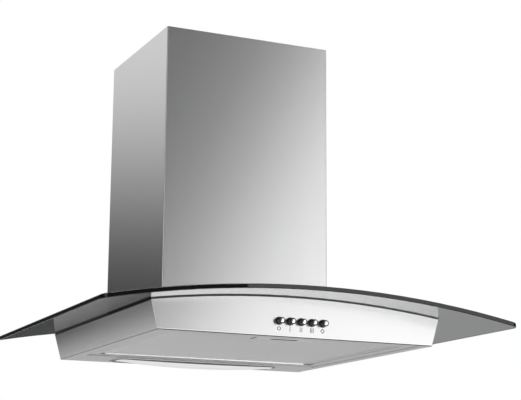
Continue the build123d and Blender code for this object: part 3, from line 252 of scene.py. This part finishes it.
def brushedStainless(name, upright):
    material, tree, shader = startMaterial(name, {
        "Base Color": linearColour(stainless["colour"]), "Metallic": 1.0,
        "Roughness": stainless["roughness"][0], "Anisotropic": stainless["shine"]})
    where = addNode(tree, "ShaderNodeTexCoord", {})
    facing = addNode(tree, "ShaderNodeNewGeometry", {})
    split = addNode(tree, "ShaderNodeSeparateXYZ", {}, {0: facing.outputs["Normal"]})
    sideways = addNode(tree, "ShaderNodeMath", {"operation": "ABSOLUTE"}, {0: split.outputs["X"]})
    onSide = addNode(tree, "ShaderNodeMath", {"operation": "GREATER_THAN", 1: stainless["facing"]},
                     {0: sideways.outputs[0]})
    fine, slow = 1 / stainless["lineWidth"], 1 / stainless["lineLength"]

    def linesAlong(axis):
        scale = [slow if letter == axis else fine for letter in "XYZ"]
        stretch = addNode(tree, "ShaderNodeMapping", {"Scale": scale}, {"Vector": where.outputs["Object"]})
        noise = addNode(tree, "ShaderNodeTexNoise", {"Scale": 1.0, "Detail": 2.0},
                        {"Vector": stretch.outputs[0]})
        return noise.outputs[0]

    if upright:
        level, grain = linesAlong("Z"), addNode(tree, "ShaderNodeCombineXYZ", {"Z": 1.0})
    else:  # lines run left to right on the front and below, front to back on the side walls
        level = addNode(tree, "ShaderNodeMix", {}, {0: onSide.outputs[0], 2: linesAlong("X"),
                                                    3: linesAlong("Y")}).outputs[0]
        notSide = addNode(tree, "ShaderNodeMath", {"operation": "SUBTRACT", 0: 1.0}, {1: onSide.outputs[0]})
        grain = addNode(tree, "ShaderNodeCombineXYZ", {}, {"X": notSide.outputs[0], "Y": onSide.outputs[0]})
    across = addNode(tree, "ShaderNodeVectorMath", {"operation": "CROSS_PRODUCT"},
                     {0: facing.outputs["Normal"], 1: grain.outputs[0]})
    polish = addNode(tree, "ShaderNodeMapRange", {"From Min": stainless["polishFrom"],
                                                  "From Max": stainless["polishTo"],
                                                  "To Min": stainless["roughness"][0],
                                                  "To Max": stainless["roughness"][1]}, {"Value": level})
    bump = addNode(tree, "ShaderNodeBump", {"Strength": 1.0, "Distance": stainless["lineDepth"]},
                   {"Height": level})
    tree.links.new(polish.outputs[0], shader.inputs["Roughness"])
    tree.links.new(bump.outputs[0], shader.inputs["Normal"])
    tree.links.new(across.outputs[0], shader.inputs["Tangent"])
    if not upright:
        steep = addNode(tree, "ShaderNodeMath", {"operation": "ABSOLUTE"}, {0: split.outputs["Z"]})
        onFold = addNode(tree, "ShaderNodeMath", {"operation": "COMPARE", 1: stainless["foldLean"],
                                                  2: stainless["foldReach"]}, {0: steep.outputs[0]})
        filterLow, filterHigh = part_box("filter_frame")
        place = addNode(tree, "ShaderNodeSeparateXYZ", {}, {0: where.outputs["Object"]})
        atRear = addNode(tree, "ShaderNodeMath", {"operation": "GREATER_THAN",
                                                  1: filterHigh.y - stainless["lipDepth"]},
                         {0: place.outputs["Y"]})
        facesFront = addNode(tree, "ShaderNodeMath", {"operation": "LESS_THAN", 1: -stainless["facing"]},
                             {0: split.outputs["Y"]})
        fromMiddle = addNode(tree, "ShaderNodeMath", {"operation": "ABSOLUTE"}, {0: place.outputs["X"]})
        behindFilter = addNode(tree, "ShaderNodeMath", {"operation": "LESS_THAN",
                                                        1: filterHigh.x - stainless["lipInset"]},
                               {0: fromMiddle.outputs[0]})
        rearWall = addNode(tree, "ShaderNodeMath", {"operation": "MULTIPLY"},
                           {0: atRear.outputs[0], 1: facesFront.outputs[0]})
        besideFrame = addNode(tree, "ShaderNodeMath", {"operation": "GREATER_THAN",
                                                       1: filterLow.z - stainless["lipBelow"]},
                              {0: place.outputs["Z"]})
        lipHighlightBand = addNode(tree, "ShaderNodeMath", {"operation": "MULTIPLY"},
                             {0: besideFrame.outputs[0], 1: behindFilter.outputs[0]})
        height = addNode(tree, "ShaderNodeMapRange", {
            "From Min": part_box("canopy_shell")[0].z, "From Max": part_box("glass_gasket")[0].z},
            {"Value": place.outputs["Z"]})
        # Painted reflection: the side walls go from dim at the top to bright at the foot
        paintedSideReflection = addNode(tree, "ShaderNodeMix", {"data_type": "RGBA", 6: linearColour(stainless["sideReflectionFoot"]),
                                                7: linearColour(stainless["sideReflectionTop"])},
                        {0: height.outputs[0]})
        walls = addNode(tree, "ShaderNodeMix", {"data_type": "RGBA", 6: linearColour(stainless["colour"])},
                        {0: onSide.outputs[0], 7: paintedSideReflection.outputs[2]})
        # Painted shade: the bends take a dark colour, so they read as dark lines
        withFoldShade = addNode(tree, "ShaderNodeMix", {"data_type": "RGBA", 7: linearColour(stainless["fold"])},
                         {0: onFold.outputs[0], 6: walls.outputs[2]})
        # Painted highlight in a band along the well's rear wall, painted shade on the rest of that wall
        lip = addNode(tree, "ShaderNodeMix", {"data_type": "RGBA", 6: linearColour(stainless["lipFootShade"]),
                                              7: linearColour(stainless["lip"])}, {0: lipHighlightBand.outputs[0]})
        withLipHighlight = addNode(tree, "ShaderNodeMix", {"data_type": "RGBA"},
                         {0: rearWall.outputs[0], 6: withFoldShade.outputs[2], 7: lip.outputs[2]})
        tree.links.new(withLipHighlight.outputs[2], shader.inputs["Base Color"])
    return material


dress(brushedStainless("brushedStainlessUpright", True), "lower_chimney", "upper_chimney")
dress(brushedStainless("brushedStainlessLevel", False), "canopy_shell", "underside_panel")


# Galvanised sheet: hot-dipped in zinc, so it shows pale crystals of a few millimetres, each with its shine
galvanised = {"pale": "#b4b8ba", "dull": "#969b9e", "crystal": 7 * mm, "roughness": (0.38, 0.55)}


def galvanisedSheet():
    material, tree, shader = startMaterial("galvanisedSheet", {
        "Metallic": 1.0, "Roughness": galvanised["roughness"][0]})
    where = addNode(tree, "ShaderNodeTexCoord", {})
    crystal = addNode(tree, "ShaderNodeTexVoronoi", {"Scale": 1 / galvanised["crystal"]},
                      {"Vector": where.outputs["Object"]})
    split = addNode(tree, "ShaderNodeSeparateColor", {}, {0: crystal.outputs["Color"]})
    colour = addNode(tree, "ShaderNodeMix", {"data_type": "RGBA", 6: linearColour(galvanised["dull"]),
                                             7: linearColour(galvanised["pale"])}, {0: split.outputs[0]})
    polish = addNode(tree, "ShaderNodeMapRange", {"To Min": galvanised["roughness"][0],
                                                  "To Max": galvanised["roughness"][1]},
                     {"Value": split.outputs[1]})
    tree.links.new(colour.outputs[2], shader.inputs["Base Color"])
    tree.links.new(polish.outputs[0], shader.inputs["Roughness"])
    return material


dress(galvanisedSheet(), "top_deck", "rear_panel", "upper_chimney_bracket", "fan_box", "fan_box_lid",
      "wall_plate", "motor_bracket", "capacitor_clip", "lamp_tray")


# Smoked float glass: tinted in the melt and bent hot, so it is dark through, with a hard clear gloss
smoked = {
    "tint": "#8f9293",
    "through": 0.6,            # share of the light that the melt lets through one thickness
    "thick": 6 * mm,
    "roughness": (0.01, 0.03),
    "smear": 40 * mm,          # wiping leaves faint smears a few centimetres wide
    "smearFrom": 0.4,
    "smearTo": 0.8,
}


def smokedGlass():
    material, tree, shader = startMaterial("smokedFloatGlass", {
        "Base Color": linearColour(smoked["tint"]), "Transmission Weight": 1.0, "IOR": 1.5,
        "Roughness": smoked["roughness"][0]})
    where = addNode(tree, "ShaderNodeTexCoord", {})
    smear = addNode(tree, "ShaderNodeTexNoise", {"Scale": 1 / smoked["smear"], "Detail": 3.0},
                    {"Vector": where.outputs["Object"]})
    polish = addNode(tree, "ShaderNodeMapRange", {"From Min": smoked["smearFrom"],
                                                  "From Max": smoked["smearTo"],
                                                  "To Min": smoked["roughness"][0],
                                                  "To Max": smoked["roughness"][1]},
                     {"Value": smear.outputs[0]})
    tree.links.new(polish.outputs[0], shader.inputs["Roughness"])
    # Tint in the melt: the long way through the rim turns it nearly black
    density = -math.log(smoked["through"]) / smoked["thick"]
    melt = addNode(tree, "ShaderNodeVolumeAbsorption", {"Color": (0.0, 0.0, 0.0, 1), "Density": density})
    surface = [node for node in tree.nodes if node.bl_idname == "ShaderNodeOutputMaterial"][0]
    tree.links.new(melt.outputs[0], surface.inputs["Volume"])
    return material


dress(smokedGlass(), "glass_canopy")


# Rubber and moulded plastics: matt or satin, with a faint grain from the mould
mould = {"depth": 0.1 * mm, "smoother": 0.06, "rougher": 0.08}


def mouldedPlastic(name, colour, roughness, grain, bumpiness):
    material, tree, shader = startMaterial(name, {
        "Base Color": linearColour(colour), "Roughness": roughness, "IOR": 1.5})
    where = addNode(tree, "ShaderNodeTexCoord", {})
    grit = addNode(tree, "ShaderNodeTexNoise", {"Scale": 1 / grain, "Detail": 2.0},
                   {"Vector": where.outputs["Object"]})
    bump = addNode(tree, "ShaderNodeBump", {"Strength": bumpiness, "Distance": mould["depth"]},
                   {"Height": grit.outputs[0]})
    spread = addNode(tree, "ShaderNodeMapRange", {"To Min": roughness - mould["smoother"],
                                                  "To Max": roughness + mould["rougher"]},
                     {"Value": grit.outputs[0]})
    tree.links.new(bump.outputs[0], shader.inputs["Normal"])
    tree.links.new(spread.outputs[0], shader.inputs["Roughness"])
    return material


# EPDM rubber: black and matt, so it is a dark line without shine
rubber = mouldedPlastic("mouldedEpdmRubber", "#161616", 0.75, 0.8 * mm, 0.2)
dress(rubber, "glass_bushes")
# Polypropylene: waxy, with a wide dull shine
dress(mouldedPlastic("mouldedBlackPolypropylene", "#202122", 0.5, 1.0 * mm, 0.15),
      "scroll_rear", "scroll_front", "outlet_collar")
dress(mouldedPlastic("mouldedGreyPolypropylene", "#5d6062", 0.5, 1.0 * mm, 0.15),
      "impeller", "flap_left", "flap_right")
# Polyamide: harder, so its shine is a little tighter
dress(mouldedPlastic("mouldedLightPolyamide", "#c8c8c2", 0.45, 1.0 * mm, 0.12),
      "terminal_box", "terminal_cover", "terminal_strip", "lamp_holders")
dress(mouldedPlastic("mouldedBlackPolyamide", "#1b1b1c", 0.42, 0.8 * mm, 0.12),
      "cable_gland", "switch_housing", "button_bezels")
# Pressed paper and resin: brown and dull
dress(mouldedPlastic("paperLaminateBoard", "#8a6b3c", 0.6, 0.5 * mm, 0.1), "switch_board")
# Stoved enamel: an even dark coat with a soft shine
dress(mouldedPlastic("stovedMotorEnamel", "#3b3d40", 0.4, 0.6 * mm, 0.1), "motor_housing")


# Plated, ground, drawn and rolled metals: the shine goes from clean to handled in soft patches
wear = {"from": 0.3, "to": 0.7, "clean": 0.8, "handled": 1.3}


def plainMetal(name, colour, roughness, patch):
    material, tree, shader = startMaterial(name, {
        "Base Color": linearColour(colour), "Metallic": 1.0, "Roughness": roughness})
    where = addNode(tree, "ShaderNodeTexCoord", {})
    patches = addNode(tree, "ShaderNodeTexNoise", {"Scale": 1 / patch, "Detail": 3.0},
                      {"Vector": where.outputs["Object"]})
    polish = addNode(tree, "ShaderNodeMapRange", {"From Min": wear["from"], "From Max": wear["to"],
                                                  "To Min": roughness * wear["clean"],
                                                  "To Max": roughness * wear["handled"]},
                     {"Value": patches.outputs[0]})
    tree.links.new(polish.outputs[0], shader.inputs["Roughness"])
    return material


# Zinc plating: cool grey with a soft shine
dress(plainMetal("zincPlatedScrews", "#a9adb0", 0.3, 2 * mm), "glass_screws", "glass_nuts", "chimney_screws",
      "fan_box_screws", "collar_screws", "switch_screws")
# Ground steel: smooth, so its shine is narrow
dress(plainMetal("groundSteelShaft", "#b0b0b0", 0.2, 4 * mm), "motor_shaft")
# Drawn aluminium: pale and even
dress(plainMetal("drawnAluminiumCan", "#c6c8ca", 0.3, 8 * mm), "capacitor")
# Rolled brass: yellow, with a clear shine
dress(plainMetal("rolledBrassCap", "#b99a5b", 0.28, 4 * mm), "lamp_bases")


# A second colour where every limit holds; a limit is (source, axis, sign, value)
def secondColour(material, colour, *limits):
    tree = material.node_tree
    shader = [node for node in tree.nodes if node.bl_idname == "ShaderNodeBsdfPrincipled"][0]
    where = addNode(tree, "ShaderNodeTexCoord", {})  # both outputs turn with the piece
    inside = None
    for source, axis, sign, value in limits:
        split = addNode(tree, "ShaderNodeSeparateXYZ", {}, {0: where.outputs[source]})
        kind = "LESS_THAN" if sign == "<" else "GREATER_THAN"
        here = addNode(tree, "ShaderNodeMath", {"operation": kind, 1: value}, {0: split.outputs[axis]})
        if inside:
            here = addNode(tree, "ShaderNodeMath", {"operation": "MULTIPLY"}, {0: inside, 1: here.outputs[0]})
        inside = here.outputs[0]
    plain = list(shader.inputs["Base Color"].default_value)
    mixed = addNode(tree, "ShaderNodeMix", {"data_type": "RGBA", 6: plain, 7: linearColour(colour)},
                    {0: inside})
    tree.links.new(mixed.outputs[2], shader.inputs["Base Color"])
    return material


# Moulded rubber gasket: its front edge is painted a lighter grey, a painted highlight, so it reads thinner
# than at the sides
gasketEdge = {"dust": "#5c5c5d", "facesFront": -0.7}
dress(secondColour(mouldedPlastic("mouldedEpdmGasket", "#161616", 0.75, 0.8 * mm, 0.2), gasketEdge["dust"],
                   ("Normal", "Y", "<", gasketEdge["facesFront"])), "glass_gasket")

# Satin anodised aluminium: etched first, so it is pale with a wide soft shine
satin = {"colour": "#dededf", "roughness": 0.36, "patch": 10 * mm,
         "dull": "#a8a8a9", "facesFront": -0.5,                      # painted shade on the walls that face front
         "dark": "#1d1d1e", "aboveFace": 0.1 * mm, "facesUp": 0.5}   # painted shade inside the pocket, so its slot reads
# The frame's walls that face front take the darker colour: painted shade
dress(secondColour(plainMetal("satinAluminiumFrame", satin["colour"], satin["roughness"], satin["patch"]),
                   satin["dull"], ("Normal", "Y", "<", satin["facesFront"])), "filter_frame")
# The inside of the pocket takes the near-black colour: painted shade
dress(secondColour(plainMetal("satinAluminiumPocket", satin["colour"], satin["roughness"], satin["patch"]),
                   satin["dark"], ("Object", "Z", ">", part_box("latch_pocket")[0].z + satin["aboveFace"]),
                   ("Normal", "Z", "<", satin["facesUp"])), "latch_pocket")
# Blackened spring steel: dark with a dim shine
dress(plainMetal("blackenedSteelLatch", "#3a3a3b", 0.4, 5 * mm), "filter_latch")
# Expanded foil: bright thin aluminium, dulled a little by washing
foil = plainMetal("expandedAluminiumFoil", "#e5e5e6", 0.36, 3 * mm)
dress(foil, "filter_mesh")


# Push buttons: moulded ABS, black with a tight shine, each with a domed plate in its front face
buttonCap = {
    "names": ["button_off", "button_speed_1", "button_speed_2", "button_speed_3", "button_light"],
    "lean": 2.1,               # degrees, as the front panel
    "rim": 1.5 * mm,           # black edge left round the plate
    "dome": 0.2 * mm,
    "sunk": 0.35 * mm,
    "rings": 8,
    "segments": 40,
}
dress(mouldedPlastic("mouldedBlackAbs", "#0d0d0e", 0.3, 0.6 * mm, 0.05), *buttonCap["names"])


def facePlates():
    # Chromed brass: mirror bright, so it shows the soft box
    chrome = plainMetal("chromedBrassPlate", "#e2e3e4", 0.1, 1.5 * mm)
    lean = math.radians(buttonCap["lean"])
    out = Vector((0, -math.cos(lean), -math.sin(lean)))
    up = Vector((0, -math.sin(lean), math.cos(lean)))
    count = buttonCap["segments"]
    for name in buttonCap["names"]:
        plate = bmesh.new()
        low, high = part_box(name)
        radius = (high.x - low.x) / 2
        face = Vector(((low.x + high.x) / 2, low.y + radius * math.sin(lean),
                       low.z + radius * math.cos(lean)))
        edge = radius - buttonCap["rim"]

        def ring(share, outwards):
            turns = [math.tau * i / count for i in range(count)]
            return [plate.verts.new(face + out * outwards + Vector((edge * share * math.cos(a), 0, 0))
                                    + up * edge * share * math.sin(a)) for a in turns]

        rings = [ring(1, -buttonCap["sunk"])]
        for i in range(buttonCap["rings"], 0, -1):
            share = i / buttonCap["rings"]
            rings.append(ring(share, buttonCap["dome"] * (1 - share ** 2)))
        crown = plate.verts.new(face + out * buttonCap["dome"])
        plate.faces.new(rings[0])
        for level, (first, second) in enumerate(zip(rings, rings[1:])):
            for i in range(count):
                j = (i + 1) % count
                plate.faces.new((first[i], first[j], second[j], second[i])).smooth = level > 0
        for i in range(count):
            plate.faces.new((rings[-1][i], rings[-1][(i + 1) % count], crown)).smooth = True
        rim = set(rings[1])
        for edgeLine in plate.edges:
            if edgeLine.verts[0] in rim and edgeLine.verts[1] in rim:
                edgeLine.smooth = False
        bmesh.ops.recalc_face_normals(plate, faces=plate.faces[:])
        words = name.split("_")
        title = words[0] + "".join(word.capitalize() for word in words[1:]) + "Plate"
        fromBmesh(title, plate, chrome, name)


facePlates()
print("button plates made")


# Opal lamp cover and frosted lamps: milky and even, with a soft shine
milky = {"ripple": 0.1, "rippleDepth": 0.05 * mm}


def paleShell(name, settings, tones, cloud, polish, ripple):
    material, tree, shader = startMaterial(name, {"Base Color": linearColour(tones[1]), **settings})
    where = addNode(tree, "ShaderNodeTexCoord", {})
    cloudy = addNode(tree, "ShaderNodeTexNoise", {"Scale": 1 / cloud, "Detail": 3.0},
                     {"Vector": where.outputs["Object"]})
    colour = addNode(tree, "ShaderNodeMix", {"data_type": "RGBA", 6: linearColour(tones[0]),
                                             7: linearColour(tones[1])}, {0: cloudy.outputs[0]})
    grain = addNode(tree, "ShaderNodeTexNoise", {"Scale": 1 / ripple, "Detail": 2.0},
                    {"Vector": where.outputs["Object"]})
    spread = addNode(tree, "ShaderNodeMapRange", {"To Min": polish[0], "To Max": polish[1]},
                     {"Value": grain.outputs[0]})
    bump = addNode(tree, "ShaderNodeBump", {"Strength": milky["ripple"], "Distance": milky["rippleDepth"]},
                   {"Height": grain.outputs[0]})
    tree.links.new(colour.outputs[2], shader.inputs["Base Color"])
    tree.links.new(spread.outputs[0], shader.inputs["Roughness"])
    tree.links.new(bump.outputs[0], shader.inputs["Normal"])
    return material


# Opal polycarbonate, moulded: the light spreads inside it, and the faint glow is painted light standing for
# that
dress(paleShell("mouldedOpalPolycarbonate",
                {"IOR": 1.58, "Emission Color": (1, 1, 1, 1), "Emission Strength": 0.07},
                ("#f4f4f3", "#fdfdfc"), 30 * mm, (0.24, 0.36), 1.5 * mm), "lamp_lens")
# Etched lamp glass: pale, a little of the light goes through
dress(paleShell("frostedLampGlass", {"IOR": 1.5, "Transmission Weight": 0.35}, ("#efeee8", "#f8f7f2"),
                12 * mm, (0.4, 0.55), 0.6 * mm), "lamp_bulbs")
print("materials set")


# Expanded mesh on both faces of the filter: slit and pulled foil, seen as small diamonds
meshNet = {
    "long": 12 * mm,           # real diamonds are near 8 by 4 mm; drawn wider so that they show
    "short": 6 * mm,
    "open": 0.74,              # share of a diamond's width and height that is hole
    "thick": 0.35 * mm,
    "frameEdge": 8.3 * mm,
    "tabReach": 7.6 * mm,
    "offSheet": 0.3 * mm,
    "roundPocket": 0.5 * mm,
    "weld": 0.05 * mm,         # corners closer than this are one
}


def netSheet(name, z, keepOut):  # keepOut: left, right and rear of the room the pocket takes
    low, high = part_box("filter_frame")
    edge = meshNet["frameEdge"]
    left, right = low.x + edge, high.x - edge
    front, rear = low.y + edge, high.y - meshNet["tabReach"] - edge
    columns, rows = round((right - left) / meshNet["long"]), round((rear - front) / meshNet["short"])
    halfLong, halfShort = (right - left) / columns / 2, (rear - front) / rows / 2
    net = bmesh.new()
    for row in range(2 * rows - 1):
        shift = row % 2
        for column in range(columns - shift):
            x = left + halfLong * (2 * column + 1 + shift)
            y = front + halfShort * (row + 1)
            if keepOut[0] < x + halfLong and x - halfLong < keepOut[1] and y - halfShort < keepOut[2]:
                continue
            corners = [(halfLong, 0), (0, halfShort), (-halfLong, 0), (0, -halfShort)]
            outer = [net.verts.new((x + dx, y + dy, z)) for dx, dy in corners]
            inner = [net.verts.new((x + dx * meshNet["open"], y + dy * meshNet["open"], z))
                     for dx, dy in corners]
            for i in range(4):
                j = (i + 1) % 4
                net.faces.new((outer[i], outer[j], inner[j], inner[i]))
    bmesh.ops.remove_doubles(net, verts=net.verts, dist=meshNet["weld"])
    bmesh.ops.solidify(net, geom=net.faces[:], thickness=meshNet["thick"])
    bmesh.ops.recalc_face_normals(net, faces=net.faces[:])
    return fromBmesh(name, net, foil, "filter")


pocketLow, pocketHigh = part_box("latch_pocket")
gap = meshNet["roundPocket"]
pocketRoom = (pocketLow.x - gap, pocketHigh.x + gap, pocketHigh.y + gap)
meshLow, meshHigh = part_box("filter_mesh")
netSheet("filterNetBelow", meshLow.z - meshNet["offSheet"], pocketRoom)
netSheet("filterNetAbove", meshHigh.z + meshNet["offSheet"], pocketRoom)
print("filter mesh made")


# Grey lip round the lamp cover, just under its rim: painted shade, a dim ring where the gap round the cover
# is in shadow
lensShadeLip = {
    "inset": 0.1 * mm,
    "wide": 1.5 * mm,
    "high": 2.6 * mm,
    "highAtEnds": 1.1 * mm,
    "corner": 12 * mm,
    "cornerSteps": 10,
    "sideSteps": 12,
    "underRim": 8 * mm,
    "rimGap": 0.55 * mm,
    "earReach": 2.7 * mm,
    "bevel": 0.25 * mm,        # lower outer edge
    "bevelFrom": 0.8,          # share of the height where that starts
}


def lensShadeTrim():
    low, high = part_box("lamp_lens")
    ringHalfX = high.x - lensShadeLip["earReach"] - lensShadeLip["inset"]
    rearY, frontY = high.y - lensShadeLip["inset"], low.y + lensShadeLip["inset"]
    top = low.z + lensShadeLip["underRim"] - lensShadeLip["rimGap"]

    def outline(inset):
        corner = lensShadeLip["corner"] - inset
        steps = lensShadeLip["sideSteps"]
        arcs = []
        for x, y, start in ((ringHalfX, rearY, 0), (-ringHalfX, rearY, 90), (-ringHalfX, frontY, 180),
                            (ringHalfX, frontY, 270)):
            centreX = x - math.copysign(lensShadeLip["corner"], x)
            centreY = y - math.copysign(lensShadeLip["corner"], y - (rearY + frontY) / 2)
            turns = [math.radians(start + 90 * i / lensShadeLip["cornerSteps"])
                     for i in range(lensShadeLip["cornerSteps"] + 1)]
            arcs.append([Vector((centreX + corner * math.cos(a), centreY + corner * math.sin(a)))
                         for a in turns])
        points = []
        for arc, following in zip(arcs, arcs[1:] + arcs[:1]):
            points += arc + [arc[-1].lerp(following[0], i / steps) for i in range(1, steps)]
        return points

    def reach(x):  # the cover bulges less towards its ends, and the lip follows
        return lensShadeLip["high"] - (lensShadeLip["high"] - lensShadeLip["highAtEnds"]) * (x / ringHalfX) ** 2

    ring = bmesh.new()
    loops = []
    for inset, down in ((0, 0), (0, lensShadeLip["bevelFrom"]), (lensShadeLip["bevel"], 1), (lensShadeLip["wide"], 1),
                        (lensShadeLip["wide"], 0)):
        loops.append([ring.verts.new((x, y, top - down * reach(x))) for x, y in outline(inset)])
    count = len(loops[0])
    for k in range(len(loops)):
        first, second = loops[k], loops[(k + 1) % len(loops)]
        for i in range(count):
            j = (i + 1) % count
            ring.faces.new((first[i], first[j], second[j], second[i]))
    bmesh.ops.recalc_face_normals(ring, faces=ring.faces[:])
    # Painted shade: a grey ring, a dim edge round the pale cover
    grey = mouldedPlastic("greyLensShadeLip", "#646566", 0.4, 0.8 * mm, 0.1)
    return fromBmesh("lensShadeLip", ring, grey, "lens")


lensShadeTrim()
print("lens lip made")


# Outer lip of the rubber gasket, turned down over the top edge of both side walls
gasketLip = {
    "high": 1.0 * mm,
    "proud": 0.5 * mm,
    "lean": 15.65,             # degrees, as the side walls
    "overEdge": 0.3 * mm,
    "rearGap": 0.5 * mm,
    "frontGap": 1.0 * mm,
}


def gasketLips():
    shellLow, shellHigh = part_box("canopy_shell")
    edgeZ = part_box("glass_gasket")[0].z
    lean = math.radians(gasketLip["lean"])
    lips = bmesh.new()
    for side in (-1, 1):
        down = Vector((-side * math.sin(lean), 0, -math.cos(lean)))
        out = Vector((side * math.cos(lean), 0, -math.sin(lean)))
        top = Vector((side * shellHigh.x, 0, edgeZ)) - down * gasketLip["overEdge"]
        section = [top, top + out * gasketLip["proud"]]
        drop = down * (gasketLip["high"] + gasketLip["overEdge"])
        section += [corner + drop for corner in reversed(section)]
        ends = []
        for y in (-gasketLip["rearGap"], shellLow.y + gasketLip["frontGap"]):
            ends.append([lips.verts.new((corner.x, y, corner.z)) for corner in section])
        for i in range(4):
            j = (i + 1) % 4
            lips.faces.new((ends[0][i], ends[0][j], ends[1][j], ends[1][i]))
        lips.faces.new(ends[0])
        lips.faces.new(ends[1])
    bmesh.ops.recalc_face_normals(lips, faces=lips.faces[:])
    return fromBmesh("gasketLip", lips, rubber, "hood")


gasketLips()
print("gasket lip made")


# Marks printed under the push buttons: ring, one to three bars, diamond
marks = {
    "drop": 10.1 * mm,
    "size": 3.35 * mm,         # half the height
    "line": 0.85 * mm,
    "proud": 0.03 * mm,
    "thick": 0.9,              # share of that, so the ink ends just off the sheet
    "ink": "#232324",
    "barSteps": (0.0, 2.6 * mm, 2.1 * mm),
    "ringSize": 0.8,           # share of a bar's height
    "ringSteps": 40,
    "diamondLine": 1.5,        # measured along its diagonals
}


def printedMarks():
    lean = math.radians(buttonCap["lean"])
    up = Vector((0, -math.sin(lean), math.cos(lean)))
    out = Vector((0, -math.cos(lean), -math.sin(lean)))
    across = Vector((1, 0, 0))
    ink = bmesh.new()

    def loopStrip(centre, inner, outer):
        rings = [[ink.verts.new(centre + across * x + up * y) for x, y in ring] for ring in (inner, outer)]
        for i in range(len(inner)):
            j = (i + 1) % len(inner)
            ink.faces.new((rings[0][i], rings[0][j], rings[1][j], rings[1][i]))

    def bar(centre, x):
        halfLine, halfHigh = marks["line"] / 2, marks["size"]
        corners = ((-halfLine, -halfHigh), (halfLine, -halfHigh), (halfLine, halfHigh), (-halfLine, halfHigh))
        ink.faces.new([ink.verts.new(centre + across * (x + dx) + up * dy) for dx, dy in corners])

    ringLow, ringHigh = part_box("button_bezels")
    shellLow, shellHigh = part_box("canopy_shell")
    z = (ringLow.z + ringHigh.z) / 2 - marks["drop"] * math.cos(lean)
    y = shellLow.y + (shellHigh.z - z) * math.tan(lean)
    for index, name in enumerate(buttonCap["names"]):
        low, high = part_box(name)
        centre = Vector(((high.x + low.x) / 2, y, z)) + out * marks["proud"]
        size, line = marks["size"], marks["line"]
        if index == 0:
            angles = [math.tau * i / marks["ringSteps"] for i in range(marks["ringSteps"])]
            radius = size * marks["ringSize"]
            hole = radius - line
            loopStrip(centre, [(hole * math.cos(a), hole * math.sin(a)) for a in angles],
                      [(radius * math.cos(a), radius * math.sin(a)) for a in angles])
        elif index <= len(marks["barSteps"]):
            for k in range(index):
                bar(centre, (k - (index - 1) / 2) * marks["barSteps"][index - 1])
        else:
            inner = size - line * marks["diamondLine"]
            loopStrip(centre, [(inner, 0), (0, inner), (-inner, 0), (0, -inner)],
                      [(size, 0), (0, size), (-size, 0), (0, -size)])
    bmesh.ops.recalc_face_normals(ink, faces=ink.faces[:])
    bmesh.ops.solidify(ink, geom=ink.faces[:], thickness=marks["proud"] * marks["thick"])
    bmesh.ops.recalc_face_normals(ink, faces=ink.faces[:])
    # Screen-printed ink: dark and flat
    black = mouldedPlastic("screenPrintedInk", marks["ink"], 0.5, 0.4 * mm, 0.05)
    return fromBmesh("printedMarks", ink, black, "hood")


printedMarks()
print("marks printed")
